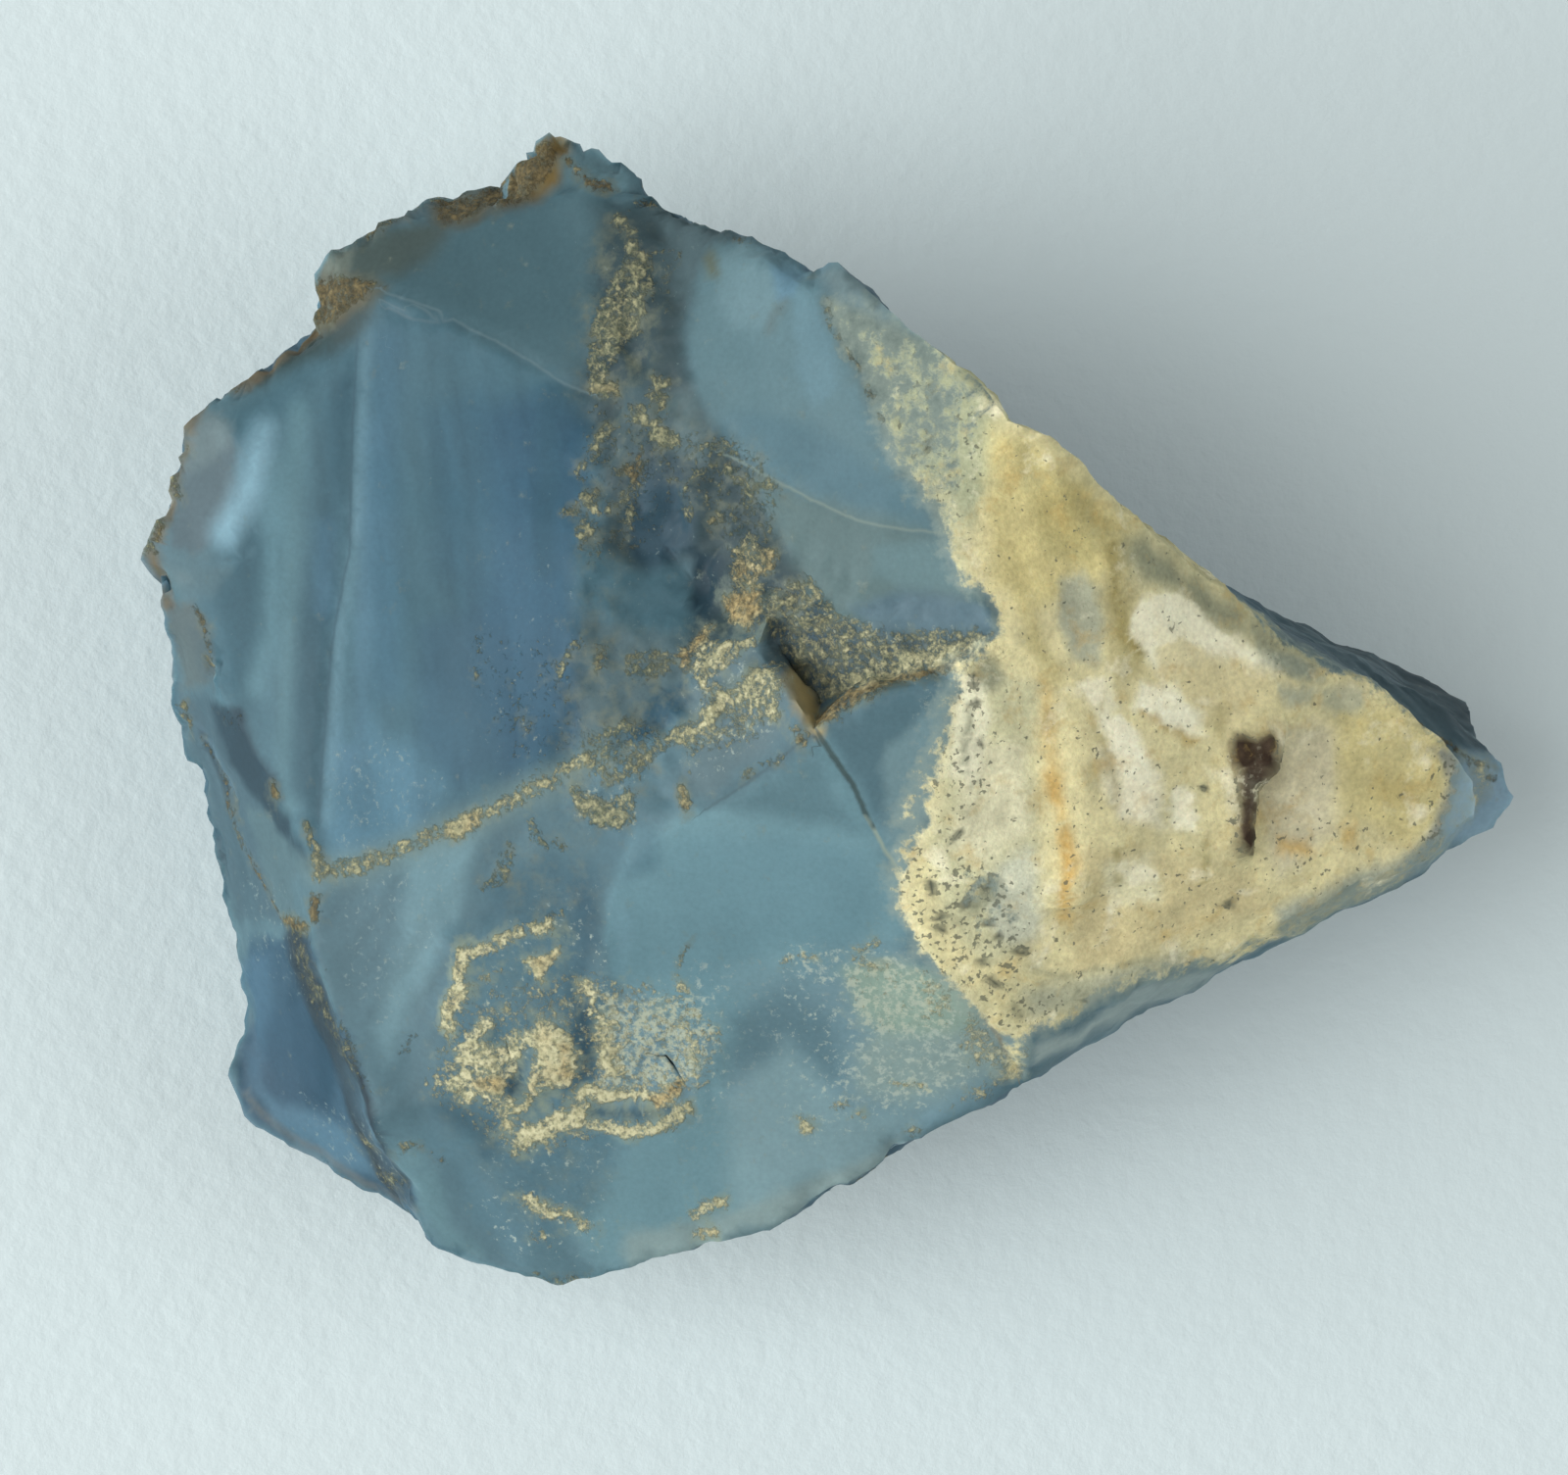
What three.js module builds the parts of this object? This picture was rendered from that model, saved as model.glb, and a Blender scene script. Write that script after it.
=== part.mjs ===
// Rough opal: one broken lump of blue common opal, with a rind of cream host rock on one side.
//
// The skin is drawn by its ridges, rims and creases, each a string of corners in millimetres.
// Beads strung along them and loose beads spread between them are joined in one closed net.
// The loose beads then settle like a soap film held by the strings, which gives the smooth,
// slightly hollow faces that opal breaks with, between edges that stay sharp.

import * as THREE from 'three';
import { ConvexHull } from 'three/addons/math/ConvexHull.js';
import { ImprovedNoise } from 'three/addons/math/ImprovedNoise.js';

// Driving dimensions of the finished lump, in millimetres.
const LENGTH = 34.9;
const WIDTH = 29.2;
const HEIGHT = 16.4;

// The net: the longest step between beads on a string, the number of loose beads tried, how
// far they keep from strung ones in steps of their own, and the rounds the film settles for.
const BEAD_STEP = 1.0;
const LOOSE_BEADS = 3000;
const STRING_CLEARANCE = 0.75;
const SETTLING_ROUNDS = 400;

// The grain of the broken skin: its height, and the size of its swells.
const GRAIN_HEIGHT = 0.14;
const GRAIN_SIZE = 2.6;

// Skin lower than this is the flat spot, which has no grain.
const FLAT_BELOW = 0.01;

// A point deep inside the lump, from which all of its skin can be seen.
const HEART = new THREE.Vector3(-0.8, -0.4, 5.8);

// The rim: the outermost line all round, clockwise from the pointed end.
const rim = [
  [17.4, -2.2, 6.9], [17.1, -1.5, 7.0], [16.4, -0.6, 6.4], [16.2, 0.2, 4.8], [14.9, 0.8, 4.2],
  [12.4, 1.9, 5.0], [10.4, 2.8, 7.0], [9.5, 3.2, 12.4], [7.8, 4.4, 14.0], [6.3, 5.9, 15.1],
  [5.2, 6.8, 15.8], [4.3, 7.2, 16.1], [3.7, 8.1, 15.9], [1.6, 9.8, 14.8], [0.1, 11.1, 13.8],
  [-0.5, 10.9, 13.4], [-2.6, 12.1, 11.2], [-4.6, 13.0, 9.8], [-5.4, 13.9, 9.0],
  [-6.2, 14.3, 8.8], [-7.2, 14.6, 8.6], [-7.8, 14.2, 8.3], [-8.3, 13.2, 8.0],
  [-9.9, 13.1, 7.7], [-10.9, 12.6, 8.0], [-12.7, 11.7, 7.9], [-13.1, 11.1, 7.6],
  [-13.1, 9.6, 7.5], [-14.9, 8.4, 7.3], [-16.0, 7.7, 7.1], [-16.6, 7.0, 7.0],
  [-16.8, 5.6, 6.8], [-17.2, 4.8, 6.7], [-17.5, 3.9, 6.5], [-17.1, 3.0, 6.4],
  [-16.8, 0.6, 5.6], [-16.7, -0.2, 5.2], [-16.0, -2.2, 4.7], [-15.7, -4.6, 4.2],
  [-15.1, -6.5, 3.8], [-15.1, -8.2, 3.4], [-15.5, -9.4, 3.2], [-15.1, -10.4, 3.2],
  [-13.8, -11.3, 3.6], [-12.2, -12.2, 4.2], [-10.8, -12.8, 5.0], [-10.2, -13.6, 6.0],
  [-8.9, -14.2, 6.4], [-7.2, -14.6, 6.9], [-5.9, -14.4, 7.2], [-4.7, -13.9, 7.6],
  [-1.5, -13.1, 8.3], [0.0, -12.1, 8.8], [3.3, -10.2, 9.5], [4.9, -9.3, 9.8],
  [6.3, -8.4, 8.4], [8.1, -7.5, 8.0], [11.3, -5.9, 7.9], [14.8, -4.2, 7.3],
  [15.7, -3.5, 7.0], [16.9, -3.0, 6.5],
];

// The flat spot it rests on, the keels that run from its corners up to the rim, and the ribs
// that cross from keel to keel and break the underside into smaller faces.
const foot = [
  [4.6, -1.0, 0], [3.6, 2.6, 0], [0.6, 4.2, 0], [-4.2, 4.0, 0], [-7.2, 1.2, 0],
  [-7.0, -2.8, 0], [-4.2, -4.8, 0], [0.6, -4.6, 0], [3.6, -3.2, 0],
];
const keels = [
  [[4.6, -1.0, 0], [10.8, -1.6, 1.9], [15.2, -1.8, 4.2], [17.4, -2.2, 6.9]],
  [[3.6, 2.6, 0], [8.4, 2.4, 2.2], [10.1, 2.6, 4.4], [10.4, 2.8, 7.0]],
  [[0.6, 4.2, 0], [3.0, 6.4, 2.4], [4.3, 6.9, 8.6], [4.3, 7.2, 16.1]],
  [[-4.2, 4.0, 0], [-3.6, 9.2, 2.4], [-4.6, 12.0, 6.2], [-4.6, 13.0, 9.8]],
  [[-7.2, 1.2, 0], [-12.4, 6.8, 2.2], [-15.4, 7.3, 4.6], [-16.0, 7.7, 7.1]],
  [[-7.0, -2.8, 0], [-13.2, -3.0, 1.3], [-15.7, -4.6, 4.2]],
  [[-4.2, -4.8, 0], [-9.8, -9.8, 1.3], [-13.8, -11.3, 3.6]],
  [[0.6, -4.6, 0], [-1.6, -9.4, 1.9], [-0.8, -12.0, 5.2], [-1.5, -13.1, 8.3]],
  [[3.6, -3.2, 0], [7.6, -5.4, 2.6], [8.3, -7.1, 5.2], [8.1, -7.5, 8.0]],
];
const ribs = [
  [[10.1, 2.6, 4.4], [12.2, 0.6, 3.4], [15.2, -1.8, 4.2]],
  [[3.0, 6.4, 2.4], [6.4, 5.7, 4.4], [8.6, 4.0, 5.6], [10.1, 2.6, 4.4]],
  [[4.3, 6.9, 8.6], [6.3, 5.3, 9.2], [7.9, 3.9, 8.0], [10.4, 2.8, 7.0]],
  [[4.3, 6.9, 8.6], [1.0, 9.0, 7.6], [-1.2, 10.8, 9.6], [-2.6, 12.1, 11.2]],
  [[-3.6, 9.2, 2.4], [-0.4, 8.8, 3.6], [1.0, 9.0, 7.6]],
  [[-12.4, 6.8, 2.2], [-8.6, 9.8, 3.4], [-9.0, 12.6, 6.2], [-8.3, 13.2, 8.0]],
  [[-13.2, -3.0, 1.3], [-15.0, 1.6, 3.4], [-15.4, 7.3, 4.6]],
  [[-9.8, -9.8, 1.3], [-8.6, -12.8, 3.8], [-7.2, -14.6, 6.9]],
  [[-9.8, -9.8, 1.3], [-13.6, -7.2, 1.6], [-15.1, -8.2, 3.4]],
  [[-1.6, -9.4, 1.9], [3.2, -8.8, 4.6], [8.3, -7.1, 5.2]],
  [[8.3, -7.1, 5.2], [12.0, -4.6, 5.6], [14.8, -4.2, 7.3]],
];

// The rind of cream rock: its high back edge, the steep banded strip below it at the pointed
// end, the chamfer along its front, and the line where it meets the opal.
const rind = [
  [[9.5, 3.2, 12.4], [10.4, 2.4, 12.0], [12.4, 1.2, 11.2], [13.7, 0.6, 10.6],
    [15.5, -0.8, 9.7], [16.2, -1.8, 9.0], [16.2, -2.7, 8.6], [14.4, -3.8, 9.0]],
  [[10.4, 2.8, 7.0], [11.4, 2.1, 8.6], [13.8, 1.0, 7.6], [15.2, 0.3, 7.0], [16.4, -0.6, 6.4]],
  [[4.9, -9.3, 9.8], [5.0, -8.5, 10.8], [6.3, -7.7, 10.6], [9.6, -6.2, 9.9],
    [12.0, -5.0, 9.6], [14.4, -3.8, 9.0]],
  [[0.1, 9.8, 14.2], [1.2, 6.7, 15.1], [2.8, 4.3, 15.4], [4.1, 2.0, 15.5], [3.0, 0.7, 15.1],
    [2.4, -2.9, 14.0], [1.7, -4.0, 13.4], [2.0, -5.6, 12.7], [3.4, -7.2, 11.8],
    [4.9, -9.3, 9.8]],
];

// Low swells and hollows on the face of the rind.
const swells = [
  [[5.8, 5.2, 15.3], [7.6, 3.0, 14.3], [9.2, 1.0, 12.9]],
  [[5.6, 1.0, 14.6], [6.4, -2.0, 13.6], [6.2, -4.6, 12.8]],
  [[8.2, 0.4, 13.3], [8.8, -1.8, 12.4], [8.2, -4.4, 11.8]],
];

// The smooth hollow on the upper right, and the spur that parts it from the middle.
const bowl = [
  [[-3.5, 10.4, 12.0], [-2.8, 11.3, 11.8], [-1.7, 11.3, 12.7], [-0.5, 10.4, 13.8],
    [0.1, 9.8, 14.2]],
  [[-3.5, 10.4, 12.0], [-3.3, 8.2, 12.7], [-2.2, 6.0, 13.3], [-0.1, 5.0, 14.3],
    [1.2, 4.6, 14.9], [2.8, 4.3, 15.4]],
  [[4.1, 2.0, 15.5], [2.3, 2.9, 14.9], [1.0, 2.9, 14.4], [0.1, 2.5, 13.9]],
  [[-2.2, 6.0, 13.3], [-0.9, 4.0, 13.6], [-1.4, 3.1, 13.3], [-1.9, 1.6, 13.5]],
];

// The notch: the floor line of its two steep walls, their top edges, and the crack beyond.
const notch = [
  [[2.8, 1.4, 14.8], [1.3, 0.8, 14.1], [-0.3, 0.1, 13.2], [-1.0, 1.0, 12.7],
    [-1.5, 1.8, 12.9]],
  [[3.0, 0.7, 15.1], [1.3, 0.4, 15.0], [-0.5, -0.5, 14.5], [-1.3, 0.7, 14.1],
    [-1.9, 1.6, 13.5]],
  [[-0.5, -0.5, 14.5], [0.5, -2.2, 14.1], [1.7, -4.0, 13.4]],
];

// The left rim of the long scoop at the front, the crack that runs in from the left edge, and
// the crease beside it.
const scoop = [
  [[-0.5, -0.5, 14.5], [-1.7, -1.6, 13.6], [-3.7, -2.7, 12.7], [-5.2, -4.0, 11.8],
    [-5.8, -6.0, 11.2], [-6.2, -7.8, 10.5], [-6.9, -9.2, 9.9], [-6.3, -10.4, 9.3],
    [-6.2, -11.9, 8.4]],
  [[-13.0, -3.9, 8.6], [-10.4, -3.4, 9.7], [-7.6, -2.1, 11.0], [-5.6, -1.1, 11.9],
    [-3.7, 0.4, 12.5], [-1.9, 1.6, 13.5]],
  [[-8.6, -3.6, 10.4], [-9.4, -5.9, 9.9], [-10.0, -8.1, 9.2], [-10.6, -11.8, 7.3],
    [-10.2, -13.6, 6.0]],
];

// The lumpy crust on the lower left: a dish with a raised front lip, two knobs with a slit
// between them, and the hackly ground in the middle.
const crust = [
  [[-6.3, -10.4, 9.3], [-5.4, -10.6, 9.4], [-4.3, -10.5, 9.4], [-3.6, -9.7, 9.5]],
  [[-5.4, -8.3, 9.7], [-4.9, -9.4, 9.1], [-4.2, -8.7, 9.4]],
  [[-9.5, -7.3, 9.7], [-8.9, -8.6, 9.7], [-8.5, -9.8, 9.3]],
  [[-7.8, -7.4, 10.4], [-7.2, -8.4, 10.4], [-7.6, -9.5, 9.9]],
  [[-8.3, -8.2, 9.5], [-8.1, -9.3, 9.2]],
  [[-4.4, 8.0, 12.1], [-4.5, 6.4, 12.3], [-3.6, 5.2, 12.8]],
  [[-4.3, 4.2, 11.9], [-3.5, 3.2, 12.0], [-2.9, 2.3, 12.5]],
];

// The left edge: the brink of the top faces, the low ledges outside it and the scooped corner.
const brink = [
  [[-17.1, 3.0, 6.4], [-15.9, 2.1, 7.0], [-15.8, 0.8, 7.1], [-15.0, -0.4, 7.3],
    [-14.1, -2.2, 7.8], [-13.0, -3.9, 8.6], [-13.2, -5.7, 8.1], [-12.4, -8.2, 8.1],
    [-11.8, -10.3, 7.8], [-11.2, -11.6, 6.9], [-10.2, -13.6, 6.0]],
  [[-16.1, 0.1, 5.9], [-15.4, -1.4, 5.8], [-14.7, -3.4, 6.3], [-14.0, -5.3, 6.2],
    [-13.7, -7.0, 5.8]],
  [[-16.0, 7.7, 7.1], [-15.1, 6.9, 8.1], [-15.0, 5.4, 8.0], [-15.8, 4.2, 7.4],
    [-17.1, 3.0, 6.4]],
];

// The back left: the broken crown along the rim and the shallow crease behind the left face.
const crown = [
  [[-4.6, 13.0, 9.8], [-6.4, 13.1, 9.6], [-7.8, 12.9, 9.0], [-9.9, 12.1, 8.8],
    [-12.4, 10.9, 8.4], [-13.1, 9.6, 7.5]],
  [[-11.6, 10.6, 9.0], [-9.9, 9.8, 9.8], [-7.9, 8.7, 10.6], [-6.2, 7.9, 11.2]],
  [[-5.2, 12.0, 10.4], [-5.6, 10.2, 10.9], [-6.2, 7.9, 11.2], [-6.4, 4.1, 11.8],
    [-6.2, 1.6, 12.0], [-5.6, -1.1, 11.9]],
];

// The small dark pit in the rind: its lip, and its deepest line.
const PIT_DEPTH = 1.1;
const pitLip = [
  [9.9, -0.8, 12.3], [11.1, -0.9, 11.8], [10.6, -2.0, 11.7], [10.3, -3.3, 11.6],
  [10.1, -2.2, 12.0],
];
const pitFloor = [[10.4, -1.3, 12.0 - PIT_DEPTH], [10.3, -2.2, 11.9 - PIT_DEPTH]];

const strings = [
  [...rim, rim[0]], [...foot, foot[0]], ...keels, ...ribs, ...rind, ...swells, ...bowl,
  ...notch, ...scoop, ...crust, ...brink, ...crown, [...pitLip, pitLip[0]], pitFloor,
];

// The way to a point from the heart, with the lump's three sides taken as equal.
function wayTo(point) {
  const way = point.clone().sub(HEART);
  return way.divide(new THREE.Vector3(LENGTH, WIDTH, HEIGHT)).normalize();
}

// Ways spread evenly over a sphere, in a spiral that turns by the golden angle.
function spiralWay(i, count) {
  const GOLDEN_ANGLE = Math.PI * (3 - Math.sqrt(5));
  const height = 1 - (2 * i + 1) / count;
  const radius = Math.sqrt(1 - height * height);
  const turn = i * GOLDEN_ANGLE;
  return new THREE.Vector3(radius * Math.cos(turn), radius * Math.sin(turn), height);
}

// Beads along every string: one on each corner, and more between corners that lie far apart,
// in millimetres or as seen from the heart. Strings that meet share the bead where they meet.
const LOOSE_SPACING = Math.sqrt((4 * Math.PI) / LOOSE_BEADS);
function strungBeads() {
  const strung = new Map();
  for (const string of strings) {
    const corners = string.map((corner) => new THREE.Vector3(...corner));
    for (let i = 1; i < corners.length; i += 1) {
      const gap = corners[i].distanceTo(corners[i - 1]);
      const wayGap = wayTo(corners[i]).distanceTo(wayTo(corners[i - 1]));
      const parts = Math.ceil(Math.max(gap / BEAD_STEP, wayGap / LOOSE_SPACING));
      for (let k = 0; k <= parts; k += 1) {
        const bead = corners[i - 1].clone().lerp(corners[i], k / parts);
        strung.set(bead.toArray().map((v) => v.toFixed(3)).join(), bead);
      }
    }
  }
  return [...strung.values()];
}

// Loose beads keep clear of the strung ones, so that neighbours on a string stay joined.
const fixed = strungBeads();
const fixedWays = fixed.map(wayTo);
const beads = [...fixed];
const ways = [...fixedWays];
for (let i = 0; i < LOOSE_BEADS; i += 1) {
  const way = spiralWay(i, LOOSE_BEADS);
  if (fixedWays.every((other) => other.distanceTo(way) > STRING_CLEARANCE * LOOSE_SPACING)) {
    const reach = new THREE.Vector3(LENGTH, WIDTH, HEIGHT).divideScalar(2);
    beads.push(way.clone().multiply(reach).add(HEART));
    ways.push(way);
  }
}

// The convex hull of the ways joins each bead to its neighbours, in triangles facing out.
const beadOf = new Map(ways.map((way, i) => [way, i]));
const hull = new ConvexHull().setFromPoints(ways);
const triangles = hull.faces.map(
  (face) => [0, 1, 2].map((k) => beadOf.get(face.getEdge(k).head().point)),
);
const neighbours = beads.map(() => new Set());
for (const [a, b, c] of triangles) {
  neighbours[a].add(b).add(c);
  neighbours[b].add(a).add(c);
  neighbours[c].add(a).add(b);
}

// The film settles: each loose bead moves to the middle of its neighbours, again and again.
for (let round = 0; round < SETTLING_ROUNDS; round += 1) {
  for (let i = fixed.length; i < beads.length; i += 1) {
    beads[i].set(0, 0, 0);
    for (const k of neighbours[i]) beads[i].add(beads[k]);
    beads[i].divideScalar(neighbours[i].size);
  }
}

const geometry = new THREE.BufferGeometry().setFromPoints(beads);
geometry.setIndex(triangles.flat());
geometry.computeVertexNormals();

// A low grain all over roughens the skin, except on the flat spot.
const noise = new ImprovedNoise();
const position = geometry.getAttribute('position');
const normal = geometry.getAttribute('normal');
for (let i = 0; i < beads.length; i += 1) {
  const point = beads[i].clone().divideScalar(GRAIN_SIZE);
  const grain = noise.noise(point.x, point.y, point.z) * GRAIN_HEIGHT;
  if (beads[i].z > FLAT_BELOW) {
    const out = new THREE.Vector3().fromBufferAttribute(normal, i);
    beads[i].addScaledVector(out, grain);
  }
  position.setXYZ(i, beads[i].x, beads[i].y, Math.max(beads[i].z, 0));
}

// The finished lump stands centred over the origin, at its driving dimensions.
geometry.computeBoundingBox();
const size = geometry.boundingBox.getSize(new THREE.Vector3());
const middle = geometry.boundingBox.getCenter(new THREE.Vector3());
geometry.translate(-middle.x, -middle.y, 0);
geometry.scale(LENGTH / size.x, WIDTH / size.y, HEIGHT / size.z);
geometry.computeVertexNormals();

const opal = new THREE.MeshStandardMaterial({ color: 0x5f8494, roughness: 0.35, metalness: 0 });
const stone = new THREE.Mesh(geometry, opal);
stone.name = 'rough_opal';

const part = new THREE.Group();
part.add(stone);
export default part;
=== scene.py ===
import math

import bmesh
import bpy
import numpy as np
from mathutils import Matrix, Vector, kdtree, noise


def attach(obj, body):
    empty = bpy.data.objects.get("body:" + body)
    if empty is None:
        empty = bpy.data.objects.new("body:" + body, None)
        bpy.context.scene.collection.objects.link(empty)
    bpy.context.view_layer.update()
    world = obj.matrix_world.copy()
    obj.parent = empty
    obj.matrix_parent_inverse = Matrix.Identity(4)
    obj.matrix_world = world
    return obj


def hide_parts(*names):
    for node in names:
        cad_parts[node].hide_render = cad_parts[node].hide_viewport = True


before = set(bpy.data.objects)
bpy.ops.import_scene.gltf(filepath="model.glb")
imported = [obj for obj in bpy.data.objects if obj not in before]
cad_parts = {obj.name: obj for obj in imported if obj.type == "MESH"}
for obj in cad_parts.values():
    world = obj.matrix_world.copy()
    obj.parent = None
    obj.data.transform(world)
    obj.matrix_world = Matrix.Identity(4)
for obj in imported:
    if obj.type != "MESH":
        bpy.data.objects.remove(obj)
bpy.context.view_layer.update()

# ---------------------------------------------------------------------------------------
# The lump: the broken body of common opal and its rind, one natural piece. Its skin is a
# merged copy of the solid, rounded between its ridges by subdivision while the ridges stay
# sharp, as on broken glass.

MM = 0.001
# A ridge starts to stay sharp at the first bend, is kept whole at the second, and at the
# third it also has a hard edge in its shading.
SOFT_RIDGE = math.radians(9)
SHARP_RIDGE = math.radians(26)
HARD_EDGE = math.radians(45)
ROUNDING_LEVELS = 2
WIDEST_EDGE = 1.4 * MM
WELD = 0.002 * MM
# A ridge belongs to the rim, which is chipped, where a face beside it points up less than this.
RIM_TILT = 0.3
RIDGE_STEPS = 4

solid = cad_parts["rough_opal"]
skin = bmesh.new()
skin.from_mesh(solid.data)
bmesh.ops.remove_doubles(skin, verts=skin.verts, dist=WELD)
wide = [edge for edge in skin.edges if edge.calc_length() > WIDEST_EDGE]
bmesh.ops.subdivide_edges(skin, edges=wide, cuts=1)
bmesh.ops.triangulate(skin, faces=[face for face in skin.faces if len(face.verts) > 3])
crease = skin.edges.layers.float.new("crease_edge")
ridge_points = []
for edge in skin.edges:
    bend = edge.calc_face_angle(0.0)
    edge[crease] = min(max((bend - SOFT_RIDGE) / (SHARP_RIDGE - SOFT_RIDGE), 0.0), 1.0)
    if bend > SHARP_RIDGE and edge.is_convex and min(
        face.normal.z for face in edge.link_faces
    ) < RIM_TILT:
        first, last = (vert.co for vert in edge.verts)
        ridge_points += [
            first.lerp(last, step / RIDGE_STEPS) for step in range(RIDGE_STEPS + 1)
        ]

cage = bpy.data.meshes.new("opal_cage")
skin.to_mesh(cage)
skin.free()
lump = bpy.data.objects.new("opal_lump", cage)
bpy.context.scene.collection.objects.link(lump)
rounding = lump.modifiers.new("rounding", "SUBSURF")
rounding.levels = ROUNDING_LEVELS
rounding.render_levels = ROUNDING_LEVELS
bpy.context.view_layer.update()
rounded = bpy.data.meshes.new_from_object(
    lump.evaluated_get(bpy.context.evaluated_depsgraph_get())
)
lump.modifiers.clear()
lump.data = rounded
rounded.name = "opal_lump"


def read_vectors(source, name):
    """A mesh's points or normals as rows of three numbers."""
    values = np.empty(len(rounded.vertices) * 3, dtype=np.float32)
    source.foreach_get(name, values)
    return values.reshape(-1, 3).astype(float)


place = read_vectors(rounded.vertices, "co") / MM
facing = read_vectors(rounded.vertex_normals, "vector")


def swell(size, octaves, seed, at=place):
    """Smooth noise from about -1 to 1 at every point, with hills of that size in mm."""
    shift = Vector((seed * 7.3, seed * 3.1, seed * 5.7))
    return np.array([
        noise.fractal(Vector(point / size) + shift, 0.9, 2.1, octaves) for point in at
    ])


def ease(value, low, high):
    """0 below low, 1 above high, and a smooth rise between."""
    share = np.clip((value - low) / (high - low), 0.0, 1.0)
    return share * share * (3 - 2 * share)


# Plan positions that wander a little: outlines read from these come out ragged, as natural
# edges do. Lines in the opal itself wander less.
WANDER, WANDER_SIZE = 0.13, 0.9
plan = place[:, :2]
wandered = plan + WANDER * np.stack(
    [swell(WANDER_SIZE, 3, seed) for seed in (11.0, 12.0)], axis=1
)
calm = plan + 0.3 * (wandered - plan)
on_top = ease(facing[:, 2], -0.05, 0.2)


def line_reach(line, spots=wandered):
    """Distance in plan to a line of corners, and which side of it each spot is on."""
    best = np.full(len(spots), np.inf)
    side = np.ones(len(spots))
    for start, end in zip(line, line[1:]):
        run = np.subtract(end, start)
        share = np.clip((spots - start) @ run / (run @ run), 0.0, 1.0)
        away = spots - start - share[:, None] * run
        reach = np.hypot(away[:, 0], away[:, 1])
        nearer = reach < best
        turn = run[0] * away[:, 1] - run[1] * away[:, 0]
        side[nearer] = np.where(turn[nearer] < 0, -1.0, 1.0)
        best[nearer] = reach[nearer]
    return best, side


def streak(line, width, fade, spots=wandered):
    """1 along a line of that width in mm, fading to 0 beyond its edge."""
    reach, _ = line_reach(line, spots)
    return 1 - ease(reach, width / 2 - fade / 2, width / 2 + fade / 2)


def depth_inside(outline):
    """How far inside an outline each point is, in mm, and less than 0 outside it."""
    closed = [*outline, outline[0]]
    reach, _ = line_reach(closed)
    inside = np.zeros(len(wandered), dtype=bool)
    x, y = wandered.T
    for (ax, ay), (bx, by) in zip(closed, closed[1:]):
        crosses = (ay > y) != (by > y)
        if ay != by:
            inside ^= crosses & (x < ax + (y - ay) * (bx - ax) / (by - ay))
    return np.where(inside, reach, -reach)


def patch(outline, fade):
    """1 inside an outline, fading to 0 across its edge."""
    return ease(depth_inside(outline), -fade / 2, fade / 2)


def strongest(patches, fade):
    """The most that any of the patches gives at each point, each with its own amount."""
    return np.max([amount * patch(outline, fade) for amount, outline in patches], axis=0)


# The rind: cream host rock over the pointed end, a skin that ends in a ragged line where it
# meets the opal and shows about 1.3 mm thick down the walls.
RIND_EDGE = [
    (0.0, 10.2), (0.3, 9.5), (0.7, 8.7), (0.9, 8.0), (1.1, 7.3), (1.5, 6.7), (2.0, 6.0), (2.3, 5.5),
    (2.8, 5.0), (3.0, 4.5), (3.0, 4.0), (3.2, 3.5), (3.6, 3.2), (4.0, 2.8), (4.3, 2.1), (3.9, 1.4),
    (3.2, 1.1), (3.0, 0.1), (2.9, -0.9), (2.5, -1.9), (2.4, -2.8), (2.0, -3.5), (1.7, -4.2),
    (1.7, -4.8), (2.0, -5.5), (2.5, -6.5), (3.2, -7.1), (3.7, -7.8), (4.2, -8.2), (4.8, -8.2),
    (5.5, -8.0), (6.3, -7.5), (7.6, -6.8), (8.8, -6.5), (10.0, -6.2), (11.3, -5.7), (13.1, -4.9),
    (14.3, -4.3), (15.3, -3.5), (15.6, -3.1), (15.6, -2.6), (15.8, -2.1), (16.0, -1.5), (15.6, -0.9),
    (14.8, -0.1), (13.8, 0.5), (12.3, 1.1), (11.1, 2.0), (10.0, 3.0), (8.8, 4.1), (3.9, 9.8),
    (0.8, 12.1),
]
# Three corners of the plane that its face lies in.
RIND_FACE = [(4.3, 7.2, 16.1), (16.2, -1.8, 9.0), (4.9, -9.3, 9.8)]
corner, tip, foot = (np.array(point) for point in RIND_FACE)
face_up = np.cross(foot - corner, tip - corner)
face_up = face_up / np.linalg.norm(face_up)
face_up = face_up * np.sign(face_up[2])
sunk = (corner - place) @ face_up
RIND_TOP, RIND_BOTTOM = 0.9, 1.7
rind_hem = RIND_TOP + 0.5 * swell(1.5, 3, 3.0)
rind = patch(RIND_EDGE, 1.4) * (1 - ease(sunk, rind_hem, rind_hem + RIND_BOTTOM - RIND_TOP))
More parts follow.
